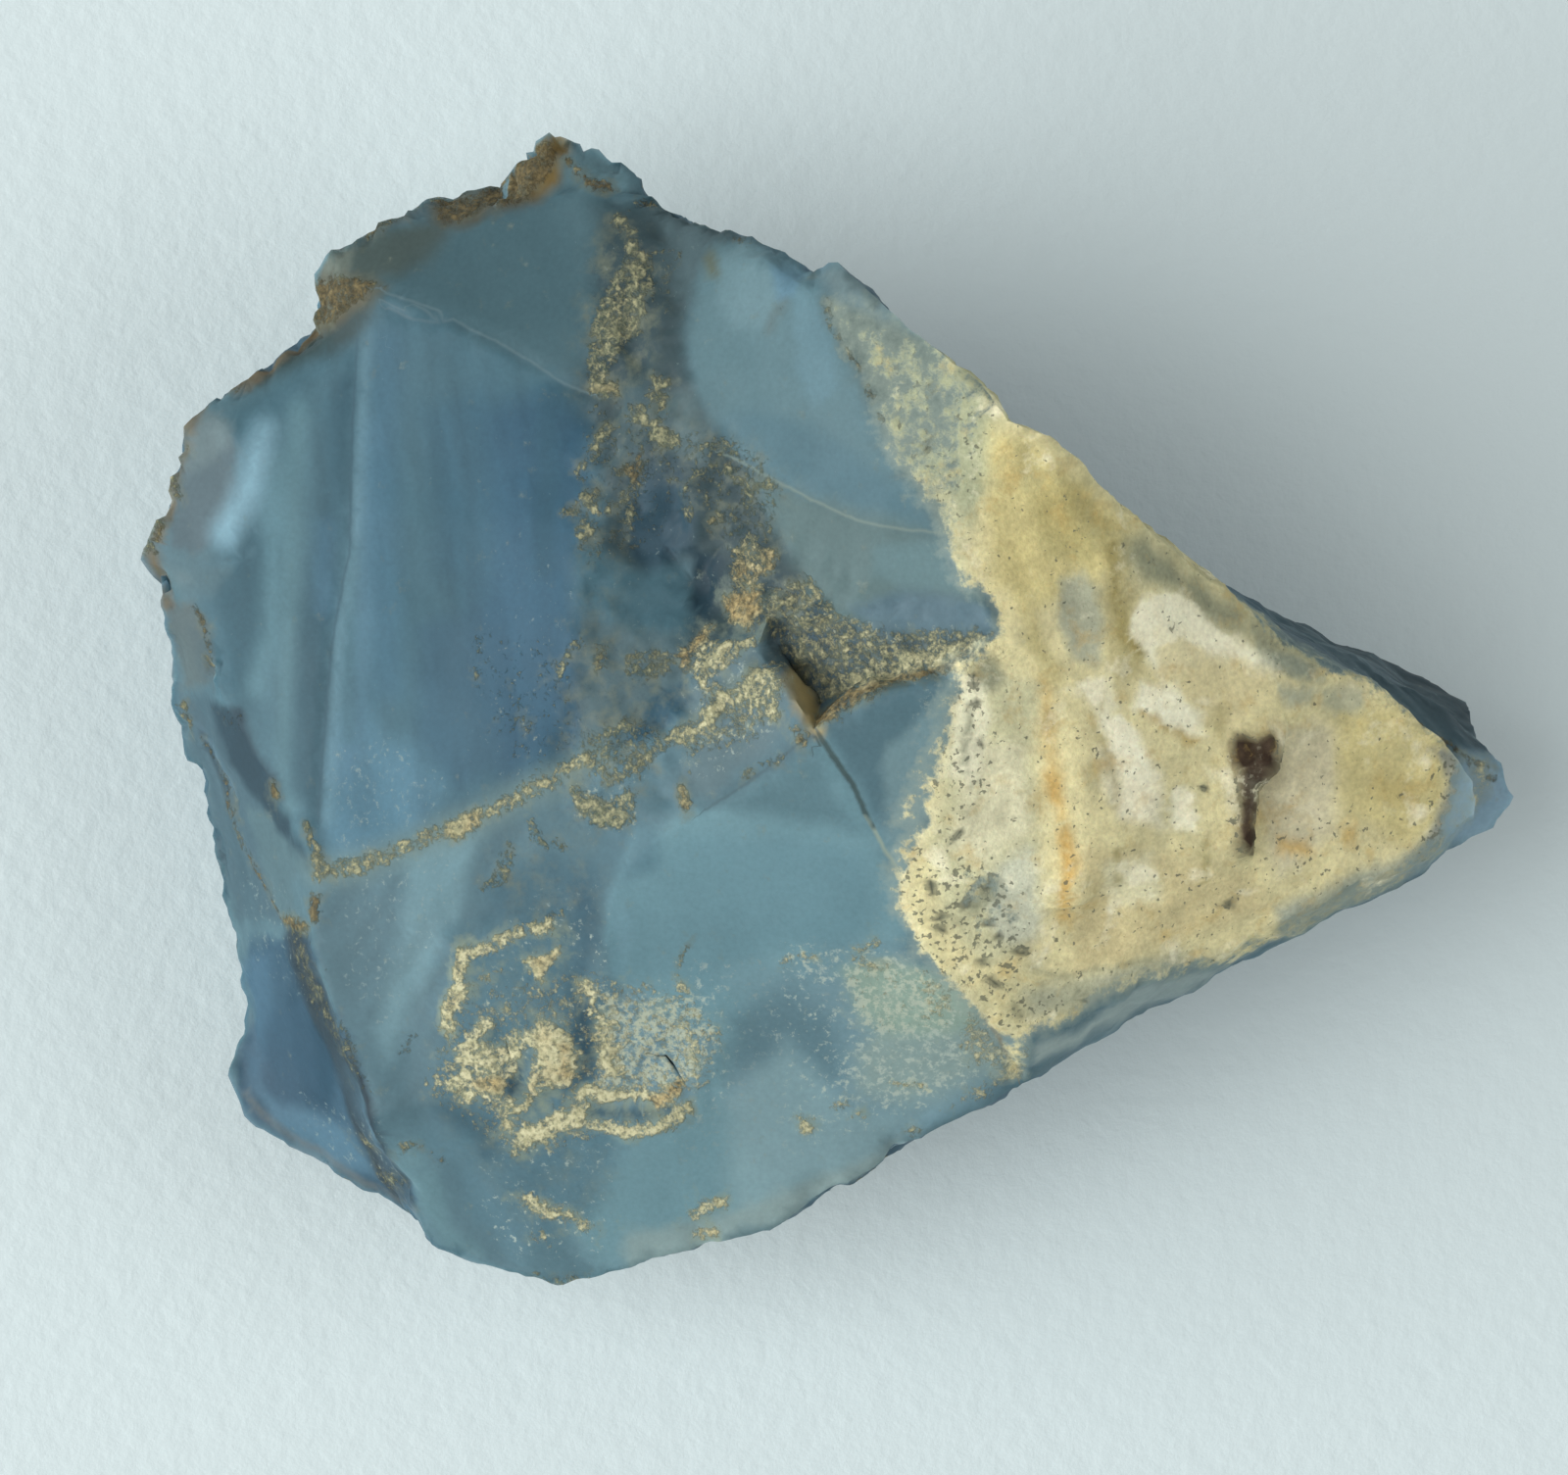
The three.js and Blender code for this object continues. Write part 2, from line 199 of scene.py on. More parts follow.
# Places where the rind is worn so thin that it only mottles or dusts the opal: how much of
# it is left, how far that fades in mm, and the outline.
THIN_RIND = [
    (0.46, 1.2, [(0.0, 10.2), (0.5, 10.1), (1.5, 9.8), (2.6, 9.2), (3.6, 8.2), (3.9, 7.5),
        (3.8, 6.6), (3.5, 5.6), (3.0, 4.8), (2.6, 5.0), (2.3, 5.5), (1.5, 6.7), (1.1, 7.4),
        (0.9, 8.0), (0.6, 8.8), (0.2, 9.5)]),
    (0.24, 0.5, [(0.8, 10.7), (2.1, 10.0), (3.2, 9.3), (4.3, 7.8), (4.1, 7.4), (3.5, 8.4),
        (2.5, 9.2), (1.5, 9.8), (0.5, 10.1), (0.1, 10.3)]),
    (0.56, 0.8, [(3.2, -3.9), (4.2, -3.6), (4.8, -4.2), (5.0, -5.2), (4.5, -5.8), (3.7, -5.9),
        (3.1, -5.3)]),
    (0.44, 0.4, [(5.1, -8.0), (6.3, -7.2), (7.6, -6.7), (9.8, -6.2), (10.1, -6.3), (8.8, -6.6),
        (7.6, -7.0), (6.3, -7.6), (5.3, -8.2)]),
    (0.42, 0.7, [(3.0, 0.7), (3.1, -0.1), (2.8, -1.3), (2.5, -2.0), (2.3, -3.0), (1.5, -3.0),
        (1.5, -2.4), (2.0, -1.7), (2.4, -0.8), (2.8, 0.1)]),
    (0.40, 0.6, [(2.4, -2.9), (2.1, -3.5), (1.8, -4.2), (1.4, -4.0), (1.6, -3.4), (2.0, -3.0)]),
    (0.36, 0.5, [(14.8, -4.0), (15.5, -3.4), (15.8, -2.5), (16.2, -1.8), (15.9, -1.1), (16.6, -1.1),
        (17.1, -1.9), (16.5, -2.9), (15.8, -3.6), (14.9, -4.2)]),
    (0.48, 0.4, [(11.3, -5.7), (13.1, -4.9), (14.3, -4.3), (15.6, -3.5), (15.4, -3.1), (14.3, -3.9),
        (13.1, -4.5), (11.3, -5.3)]),
    (0.42, 0.5, [(3.5, -7.4), (4.2, -8.2), (5.0, -8.3), (5.1, -9.2), (4.4, -9.6), (3.9, -8.9),
        (3.5, -8.4)]),
    (0.26, 1.0, [(0.4, -6.5), (1.4, -6.0), (2.6, -6.3), (3.9, -7.9), (4.1, -8.8), (3.5, -9.3),
        (2.1, -8.4), (1.0, -8.2)]),
    (0.14, 1.0, [(-1.1, -6.0), (1.4, -5.8), (2.9, -6.9), (3.9, -9.2), (2.4, -10.4), (0.3, -9.7),
        (-0.1, -7.4)]),
]
for amount, fade, outline in THIN_RIND:
    worn = patch(outline, fade) * on_top
    rind = rind * (1 - worn) + amount * worn


# ---------------------------------------------------------------------------------------
# Colours of the opal: milky blue common opal, banded where the silica gel settled, darker
# and greener where it is clear and deep, paler where it is thin.
def linear(hex_colour):
    """An sRGB hex colour as linear red, green and blue."""
    parts = [int(hex_colour[i:i + 2], 16) / 255 for i in (1, 3, 5)]
    return np.array([
        part / 12.92 if part <= 0.04045 else ((part + 0.055) / 1.055) ** 2.4
        for part in parts
    ])


def lay(tint, colour, mask):
    """Paints a hex colour over a tint, as strongly as the mask says."""
    strength = np.clip(mask, 0, 1)[:, None]
    return tint * (1 - strength) + linear(colour) * strength


INK, NIGHT, AZURE, TEAL, MOSS = "#284657", "#305160", "#3f6476", "#41626e", "#46626a"
STEEL, MID, LAKE, POND, MILK = "#4b6b76", "#526f78", "#5a777e", "#60808a", "#6b8e99"
CLOUD, FOG, SMOKE, SOOT = "#93a4a1", "#667169", "#475654", "#344647"

# Outlines that are used again: the broad left face, and the facet below the crusty seam.
LEFT_FACE = [
    (-15.8, 3.1), (-15.4, 7.3), (-13.7, 8.5), (-11.9, 9.8), (-11.3, 10.6), (-6.2, 8.1), (-5.7, 4.1),
    (-6.4, -1.1), (-10.2, -3.1), (-12.9, -4.2), (-13.7, -2.9), (-14.8, -0.7), (-15.8, 0.8),
]
SEAM_FACET = [
    (-12.9, -4.2), (-10.7, -3.5), (-8.7, -2.8), (-7.5, -2.6), (-8.7, -5.2), (-9.4, -6.9),
    (-9.8, -9.4), (-11.0, -11.4), (-11.8, -9.7), (-12.4, -7.9), (-13.1, -5.7),
]
# Each patch: its colour, how far its edge fades in mm, how strong it is, and its outline.
OPAL_PATCHES = [
    # the broad left face, west of the mottled band
    (TEAL, 1.0, 1.0, LEFT_FACE),
    (STEEL, 1.2, 1.0, [(-16.1, 3.4), (-15.3, 4.1), (-14.6, 6.3), (-13.7, 8.2), (-12.5, 8.5),
        (-12.4, 4.1), (-13.2, 2.1), (-13.3, -2.9), (-14.0, -2.3), (-14.7, -1.1), (-14.8, -0.3),
        (-15.8, 0.8), (-15.8, 2.1)]),
    ("#335460", 1.0, 0.85, [(-15.8, 3.1), (-14.9, 4.8), (-13.9, 4.3), (-13.8, 2.6), (-14.4, 1.1),
        (-14.9, 0.1), (-15.5, 0.8)]),
    ("#33566a", 1.0, 0.9, [(-8.9, 7.6), (-7.2, 8.0), (-5.9, 7.3), (-6.4, 3.1), (-6.2, -0.9),
        (-8.2, -1.6), (-9.2, 0.6), (-8.7, 4.1)]),
    ("#375b6c", 1.2, 0.7, [(-10.2, 7.6), (-8.7, 8.1), (-8.3, 5.1), (-8.7, 1.9), (-9.9, 3.6)]),
    ("#35576a", 0.8, 0.8, [(-8.7, 2.6), (-6.2, 1.9), (-6.2, -0.4), (-8.2, -1.6), (-8.7, -0.4)]),
    ("#3a5b6c", 0.8, 0.8, [(-10.4, 2.1), (-8.7, 2.6), (-8.2, -1.4), (-9.4, -2.1), (-10.4, -0.9)]),
    ("#507586", 1.0, 0.9, [(-12.7, -0.4), (-11.8, 0.0), (-11.2, -0.9), (-10.4, -1.0), (-9.8, -1.9),
        (-10.2, -3.1), (-11.4, -3.7), (-12.8, -4.0)]),
    # the teal facet above it
    (MOSS, 0.5, 1.0, [(-12.5, 9.8), (-11.3, 10.6), (-9.9, 10.0), (-8.7, 9.3), (-7.4, 8.7),
        (-6.2, 8.1), (-5.2, 9.3), (-4.9, 12.1), (-3.9, 12.7), (-6.2, 13.2), (-7.5, 13.1),
        (-9.4, 12.3), (-10.2, 12.1), (-11.2, 11.0)]),
    ("#4e6970", 0.7, 0.6, [(-6.4, 13.0), (-5.2, 12.7), (-5.5, 11.6), (-6.2, 10.8), (-6.4, 11.8)]),
    # smoky and foggy corners of the upper left edge
    (SMOKE, 0.6, 1.0, [(-12.3, 12.1), (-11.2, 12.2), (-10.0, 12.4), (-9.8, 12.0), (-10.2, 11.4),
        (-11.2, 10.9), (-11.9, 10.8), (-12.4, 11.3)]),
    (FOG, 0.25, 0.95, [(-13.0, 11.6), (-12.5, 11.9), (-12.1, 11.7), (-12.2, 11.1), (-12.9, 11.1)]),
    (SOOT, 0.6, 0.95, [(-11.5, 10.3), (-11.8, 9.5), (-12.9, 8.9), (-13.9, 8.5), (-14.8, 8.2),
        (-13.7, 9.4), (-12.9, 10.1), (-12.2, 10.5)]),
    ("#6b5c38", 0.4, 1.0, [(-8.7, 13.1), (-8.2, 14.1), (-7.7, 14.8), (-6.8, 14.7), (-6.5, 14.1),
        (-6.8, 13.3), (-7.4, 12.9)]),
    ("#4e4835", 0.4, 0.9, [(-10.5, 12.9), (-10.2, 13.3), (-9.3, 13.2), (-8.5, 13.4), (-7.5, 13.3),
        (-7.3, 12.9), (-8.2, 12.6), (-9.1, 12.3), (-9.9, 12.2), (-10.2, 12.6)]),
    ("#5c5640", 0.4, 0.8, [(-13.2, 11.2), (-12.1, 11.1), (-11.2, 10.7), (-11.7, 10.2), (-12.4, 9.9),
        (-13.2, 9.6)]),
    ("#6a6c62", 0.3, 0.8, [(-12.3, 12.1), (-10.4, 13.0), (-8.7, 13.3), (-9.9, 12.9), (-11.2, 12.3)]),
    (LAKE, 0.4, 0.9, [(-6.8, 13.3), (-6.9, 14.1), (-6.2, 14.3), (-5.5, 14.0), (-5.0, 13.2),
        (-5.9, 13.1)]),
    # the grey scoop on the far left and the milky light beside it
    ("#50636a", 0.3, 1.0, [(-16.0, 7.7), (-15.3, 7.3), (-15.0, 6.7), (-15.1, 5.8), (-15.3, 5.1),
        (-16.0, 4.1), (-16.7, 4.1), (-16.8, 5.1), (-16.4, 6.1), (-16.3, 7.1)]),
    ("#66797c", 0.4, 0.8, [(-16.0, 7.7), (-15.3, 7.3), (-15.2, 6.8), (-15.8, 6.3), (-16.3, 6.1),
        (-16.3, 7.1)]),
    ("#506b73", 0.4, 0.9, [(-17.1, 3.9), (-16.0, 4.0), (-15.2, 3.7), (-15.7, 3.0), (-16.8, 2.9)]),
    ("#5a7278", 0.2, 0.9, [(-17.0, 3.6), (-16.5, 3.6), (-16.1, 3.4), (-16.8, 3.1)]),
    ("#526163", 0.2, 0.95, [(-16.9, 2.8), (-16.1, 2.8), (-15.8, 2.2), (-15.7, 1.1), (-15.8, 0.6),
        (-16.6, 0.6), (-16.9, 1.9)]),
    ("#45595f", 0.3, 0.6, [(-16.3, 2.1), (-15.8, 2.0), (-15.8, 0.8), (-16.1, 0.6)]),
    # the stepped left side below it
    ("#435b65", 0.4, 0.9, [(-16.6, 0.5), (-15.8, 0.5), (-15.2, -0.4), (-14.6, -1.9), (-13.9, -5.4),
        (-15.2, -5.4), (-15.8, -2.4), (-16.3, -0.9)]),
    # Painted shadow: a dark band down the stepped left side, where the step throws its shade.
    ("#293f4a", 0.25, 0.95, [(-15.8, 0.1), (-15.0, 0.1), (-14.7, -0.7), (-14.0, -1.8), (-13.7, -2.9),
        (-13.2, -3.9), (-13.2, -4.2), (-13.9, -3.3), (-14.6, -2.2), (-15.2, -1.3)]),
    ("#4f6970", 0.2, 0.95, [(-14.8, -2.5), (-14.3, -2.6), (-13.7, -3.3), (-13.2, -4.0),
        (-13.7, -4.4), (-13.4, -5.3), (-13.9, -5.3), (-14.3, -4.4), (-14.6, -3.4)]),
    ("#435b65", 0.3, 0.9, [(-16.0, -1.9), (-15.5, -3.4), (-15.2, -5.2), (-14.8, -6.5), (-15.2, -5.0),
        (-15.7, -3.9), (-15.8, -2.6)]),
    # the facet below the crack
    ("#4e6a73", 0.6, 1.0, SEAM_FACET),
    ("#66868e", 0.6, 0.8, [(-10.7, -3.6), (-8.7, -3.0), (-9.4, -5.2), (-10.4, -7.2), (-11.2, -8.9),
        (-11.5, -8.2), (-10.9, -5.9)]),
    ("#3e5d69", 0.7, 0.8, [(-8.7, -4.4), (-7.2, -3.6), (-5.7, -3.9), (-5.9, -5.9), (-7.2, -5.9),
        (-8.7, -5.4)]),
    # the mottled band
    ("#37494d", 0.8, 1.0, [(-5.9, 12.7), (-3.9, 13.0), (-2.1, 12.0), (-3.1, 11.3), (-3.5, 10.1),
        (-3.6, 8.6), (-2.8, 7.2), (-1.8, 6.0), (-1.1, 4.1), (0.3, 3.1), (-1.1, 2.1), (-1.9, 1.9),
        (-3.6, 1.1), (-5.7, -0.9), (-6.2, -1.1), (-6.4, 0.6), (-5.9, 3.1), (-5.7, 5.6), (-6.2, 8.1),
        (-5.9, 9.8)]),
    ("#556a6f", 0.6, 0.8, [(-4.5, 12.7), (-3.1, 12.3), (-2.8, 11.6), (-3.6, 10.1), (-3.9, 11.3)]),
    ("#54696c", 0.5, 0.8, [(-4.4, 7.8), (-3.5, 8.1), (-2.9, 7.1), (-3.1, 6.2), (-3.9, 6.4)]),
    ("#475e64", 0.4, 0.7, [(-5.2, 8.1), (-4.7, 8.3), (-4.5, 7.6), (-4.9, 6.3), (-5.5, 6.1),
        (-5.4, 7.3)]),
    ("#446570", 0.7, 0.9, [(-6.2, 4.1), (-4.9, 3.6), (-3.5, 3.7), (-3.4, 2.1), (-3.9, 1.6),
        (-5.7, 2.0), (-6.2, 2.9)]),
    ("#2c4653", 0.5, 0.9, [(-4.9, 5.6), (-4.3, 6.4), (-3.6, 6.2), (-3.4, 5.1), (-3.5, 4.0),
        (-4.3, 3.5), (-5.0, 3.8), (-5.2, 4.8)]),
    ("#1f3742", 0.35, 0.95, [(-3.5, 4.0), (-2.7, 3.9), (-2.6, 2.9), (-3.0, 2.2), (-3.5, 2.5),
        (-3.4, 3.4)]),
    ("#4f666b", 0.5, 0.8, [(-6.2, 2.1), (-5.2, 2.1), (-3.9, 1.9), (-3.6, 0.8), (-4.9, -0.9),
        (-6.2, -1.4)]),
    ("#586d72", 0.5, 0.8, [(-3.4, 0.8), (-2.5, 1.5), (-1.9, 1.7), (-1.1, 0.8), (-1.0, -0.4),
        (-1.6, -1.1), (-2.6, -1.9), (-3.5, -2.3), (-3.8, -1.8), (-3.2, -0.9), (-3.5, -0.1)]),
    (NIGHT, 0.15, 1.0, [(-3.6, 0.6), (-3.4, 0.2), (-3.9, -0.3), (-4.5, -0.7), (-5.0, -0.9),
        (-5.2, -0.8), (-4.7, 0.0), (-4.2, 0.4)]),
    # the smooth bowl right of it
    (LAKE, 0.5, 1.0, [(-3.0, 11.6), (-2.1, 11.7), (-1.3, 11.0), (-0.3, 10.6), (0.2, 9.5), (0.8, 8.1),
        (1.5, 6.8), (2.4, 5.6), (2.9, 4.5), (0.8, 4.8), (-1.1, 5.6), (-2.1, 6.5), (-2.8, 7.3),
        (-3.4, 8.1), (-3.5, 9.3), (-3.4, 10.6)]),
    ("#67848b", 0.35, 0.8, [(-2.8, 11.3), (-2.1, 11.7), (-1.5, 11.3), (-1.3, 10.6), (-1.5, 9.7),
        (-2.4, 9.5), (-2.8, 10.3)]),
    (POND, 0.3, 0.8, [(-0.9, 10.6), (-0.5, 10.6), (0.1, 9.3), (0.3, 8.1), (-0.4, 7.6), (-0.8, 8.6)]),
    (STEEL, 0.6, 0.7, [(-2.8, 7.1), (-1.9, 7.6), (-0.4, 7.1), (1.4, 5.8), (2.4, 4.7), (0.8, 4.8),
        (-1.1, 5.7)]),
    ("#5f8191", 0.25, 0.9, [(-1.5, 11.2), (-0.7, 11.0), (-0.8, 10.5), (-1.3, 10.2), (-1.4, 10.6)]),
    ("#65797c", 0.4, 0.9, [(-0.4, 11.1), (0.6, 11.1), (1.1, 10.3), (2.4, 9.5), (1.4, 9.6),
        (0.1, 10.3)]),
    # the facet under the bowl, down to the notch
    ("#586f70", 0.6, 1.0, [(-1.8, 5.8), (0.1, 5.2), (2.9, 4.4), (3.0, 3.6), (3.9, 2.9), (4.1, 2.1),
        (1.4, 1.9), (0.1, 2.1), (-0.7, 3.1), (-1.1, 4.1)]),
    ("#617d81", 0.4, 0.8, [(1.1, 4.1), (2.9, 4.3), (3.0, 3.6), (3.5, 3.1), (2.1, 3.0), (1.1, 3.4)]),
    ("#566f7a", 0.4, 0.9, [(0.6, 2.6), (1.9, 3.0), (3.1, 2.9), (4.0, 2.5), (4.0, 2.0), (2.4, 1.9),
        (1.1, 2.1)]),
    # the scoop in front
    ("#6b8992", 0.8, 1.0, [(-5.2, -6.9), (-2.1, -6.2), (1.4, -5.7), (4.1, -7.9), (4.1, -9.7),
        (1.4, -11.3), (-2.1, -13.3), (-5.7, -14.2), (-7.2, -12.9), (-6.2, -10.2)]),
    ("#688a92", 0.6, 1.0, [(-4.8, -3.1), (-3.1, -2.4), (-1.1, -1.6), (-0.1, -0.7), (0.6, -1.9),
        (1.7, -3.9), (2.0, -5.7), (0.8, -6.7), (-1.1, -7.2), (-2.6, -9.4), (-2.1, -11.4),
        (-1.1, -12.9), (-3.6, -13.7), (-5.9, -14.2), (-7.2, -12.4), (-6.2, -10.7), (-3.6, -10.2),
        (-2.9, -8.4), (-5.2, -6.9), (-5.6, -5.9), (-5.3, -4.4)]),
    ("#61838c", 0.8, 0.9, [(-5.2, -4.4), (-3.6, -3.1), (-1.1, -3.1), (0.8, -3.6), (1.4, -5.2),
        (0.3, -6.2), (-1.1, -5.9), (-3.1, -6.9), (-5.2, -6.7), (-5.5, -5.7)]),
    ("#4c6c77", 0.5, 0.8, [(-5.8, -2.9), (-4.9, -2.8), (-4.2, -3.0), (-4.3, -3.9), (-5.2, -4.4),
        (-5.8, -3.9)]),
    ("#4f6c74", 0.7, 0.8, [(-3.1, -2.4), (-1.1, -1.6), (-0.3, -0.9), (0.8, -3.1), (-0.1, -2.9),
        (-1.6, -2.6)]),
    (MILK, 0.25, 0.6, [(-5.5, -5.3), (-5.2, -4.8), (-5.0, -5.7), (-5.2, -6.5), (-4.9, -7.0),
        (-5.3, -6.7)]),
    ("#6b8890", 1.2, 0.7, [(-2.6, -6.7), (1.4, -5.9), (2.9, -7.4), (3.4, -9.2), (1.9, -9.7),
        (0.1, -8.9), (-1.1, -7.9)]),
    ("#58757e", 0.8, 0.9, [(-2.5, -7.7), (-1.1, -6.9), (0.1, -7.9), (0.3, -9.4), (-1.1, -9.9),
        (-2.4, -9.2)]),
    ("#7f9490", 0.9, 0.9, [(1.4, -7.9), (2.9, -7.8), (4.1, -8.2), (4.3, -9.0), (3.6, -9.4),
        (2.1, -10.0), (0.8, -9.7), (0.6, -8.7)]),
    ("#83998c", 0.6, 0.95, [(0.3, -6.5), (1.4, -6.3), (2.5, -6.5), (3.5, -7.0), (3.9, -7.9),
        (2.9, -8.2), (2.1, -8.2), (1.4, -8.2), (0.7, -7.5)]),
    ("#7b989d", 0.8, 0.8, [(-2.6, -9.7), (-1.1, -8.4), (0.6, -10.2), (2.1, -10.2), (1.4, -11.2),
        (-1.1, -12.9), (-2.6, -12.9)]),
    ("#849896", 0.4, 0.8, [(-5.2, -13.4), (-2.6, -12.8), (-0.4, -12.0), (2.1, -10.8), (1.4, -11.5),
        (-1.1, -13.0), (-3.6, -13.8), (-5.2, -14.1)]),
    # the frosted ground in front of the crusts
    ("#506f7a", 0.8, 0.9, [(-9.8, -5.7), (-7.7, -5.3), (-6.2, -5.9), (-5.7, -7.2), (-6.2, -9.7),
        (-5.2, -11.2), (-6.2, -12.9), (-8.2, -14.2), (-9.9, -11.9), (-10.4, -10.7), (-9.8, -8.4)]),
    ("#375562", 0.5, 0.85, [(-6.5, -4.3), (-5.8, -4.4), (-5.8, -5.7), (-6.2, -6.9), (-6.2, -9.2),
        (-6.7, -9.7), (-6.5, -7.9), (-6.4, -5.9)]),
    ("#4e6972", 0.4, 0.8, [(-10.2, -11.5), (-9.5, -11.5), (-9.2, -12.9), (-7.9, -14.2),
        (-8.7, -14.2), (-9.9, -12.9)]),
    ("#5a7980", 0.4, 0.8, [(-11.1, -11.2), (-10.4, -10.9), (-10.2, -11.7), (-10.8, -11.9),
        (-10.0, -11.7), (-9.7, -12.9), (-8.7, -14.2), (-9.8, -13.8), (-10.4, -12.8)]),
    # the dark blue side face at the lower left
    ("#375465", 0.2, 1.0, [(-14.8, -5.9), (-13.2, -5.7), (-12.9, -6.9), (-12.5, -7.9), (-12.0, -8.7),
        (-11.7, -10.2), (-11.2, -11.4), (-10.5, -12.5), (-10.7, -12.9), (-15.2, -10.4),
        (-15.3, -9.2), (-14.8, -7.9)]),
    ("#436376", 0.35, 0.8, [(-14.9, -6.4), (-14.2, -6.3), (-14.3, -8.2), (-14.6, -9.9),
        (-15.0, -9.9), (-14.9, -8.2)]),
    (INK, 0.3, 1.0, [(-13.9, -5.9), (-12.9, -6.9), (-12.4, -8.9), (-12.7, -10.2), (-13.4, -10.2),
        (-13.7, -8.4)]),
    ("#4e7082", 0.4, 0.9, [(-14.8, -9.4), (-13.7, -10.2), (-12.4, -10.7), (-11.4, -11.9),
        (-12.9, -11.7), (-14.2, -10.9)]),
    ("#335062", 0.4, 0.7, [(-14.4, -7.9), (-13.4, -7.4), (-13.0, -9.7), (-14.0, -10.2), (-14.6, -9.7)]),
    # grey-green ground under the mottled end of the rind, dark ground over the notch, and painted shade
    # along the notch's left edge
    ("#8d9688", 0.3, 1.0, [(3.9, -3.9), (4.1, -5.9), (3.9, -7.7), (4.8, -8.3), (6.3, -7.5),
        (8.8, -6.5), (11.3, -5.7), (14.3, -4.3), (15.6, -3.5), (13.8, -2.9), (10.1, -5.4),
        (5.3, -5.9)]),
    ("#727e76", 0.5, 1.0, [(3.2, -3.8), (4.3, -3.6), (5.0, -4.3), (5.0, -5.4), (4.1, -6.0),
        (3.1, -5.5)]),
    ("#6f8b90", 0.3, 0.9, [(1.4, -0.9), (2.6, 0.1), (3.1, 0.8), (3.1, -0.4), (2.6, -1.9),
        (2.2, -3.6), (1.8, -4.2), (1.4, -3.9)]),
    ("#5c6c68", 0.5, 1.0, [(-0.1, 10.3), (0.5, 10.2), (1.5, 9.8), (2.6, 9.2), (3.9, 8.1), (4.3, 7.1),
        (4.1, 5.6), (3.5, 4.5), (2.9, 4.5), (2.2, 5.5), (1.4, 6.7), (1.0, 7.7), (0.5, 8.8),
        (0.1, 9.6)]),
    ("#6f8588", 0.3, 0.9, [(0.1, 10.8), (0.8, 10.7), (2.4, 9.6), (3.0, 9.1), (2.1, 9.3), (1.1, 9.8),
        (0.2, 10.1)]),
    ("#3d5059", 0.4, 0.9, [(-1.5, 3.4), (-0.8, 3.1), (0.1, 2.3), (1.4, 1.9), (3.9, 1.9), (4.2, 1.6),
        (2.9, 1.1), (1.4, 0.8), (0.1, 0.2), (-0.2, -0.2), (-0.8, 0.6), (-1.4, 1.9)]),
    # Painted shade: a darker strip along the notch's left edge, where the step's shadow falls.
    ("#46575c", 0.2, 0.9, [(-1.9, 2.2), (-1.4, 2.1), (-0.8, 1.0), (-0.2, -0.3), (-0.5, -0.6),
        (-0.9, 0.2), (-1.4, 1.1)]),
    ("#6f8083", 0.3, 0.7, [(5.3, -9.2), (7.6, -7.9), (10.1, -6.8), (12.1, -6.0), (13.8, -5.0),
        (14.8, -4.5), (14.3, -5.0), (12.1, -6.3), (10.1, -7.2), (7.6, -8.3), (5.6, -9.4)]),
    ("#7f9296", 0.3, 0.9, [(14.3, -3.9), (15.4, -3.1), (15.8, -1.9), (16.4, -1.9), (16.2, -2.9),
        (15.6, -3.7), (14.3, -4.4)]),
    # below the rind's lower edge, and the blue tip
    (CLOUD, 0.3, 1.0, [(5.1, -8.5), (6.3, -8.0), (7.6, -7.2), (8.8, -6.7), (10.1, -6.5), (9.8, -6.7),
        (7.6, -7.7), (6.3, -8.3), (5.1, -9.0)]),
    ("#7c97a1", 0.3, 1.0, [(15.8, -1.3), (16.4, -1.6), (17.5, -2.3), (16.9, -3.1), (15.5, -3.9),
        (14.3, -4.8), (15.4, -3.6), (15.7, -3.0), (15.6, -2.6), (15.9, -1.9)]),
]
opal_tint = np.tile(linear(MID), (len(place), 1))
for colour, fade, strength, outline in OPAL_PATCHES:
    opal_tint = lay(opal_tint, colour, patch(outline, fade) * strength * on_top)

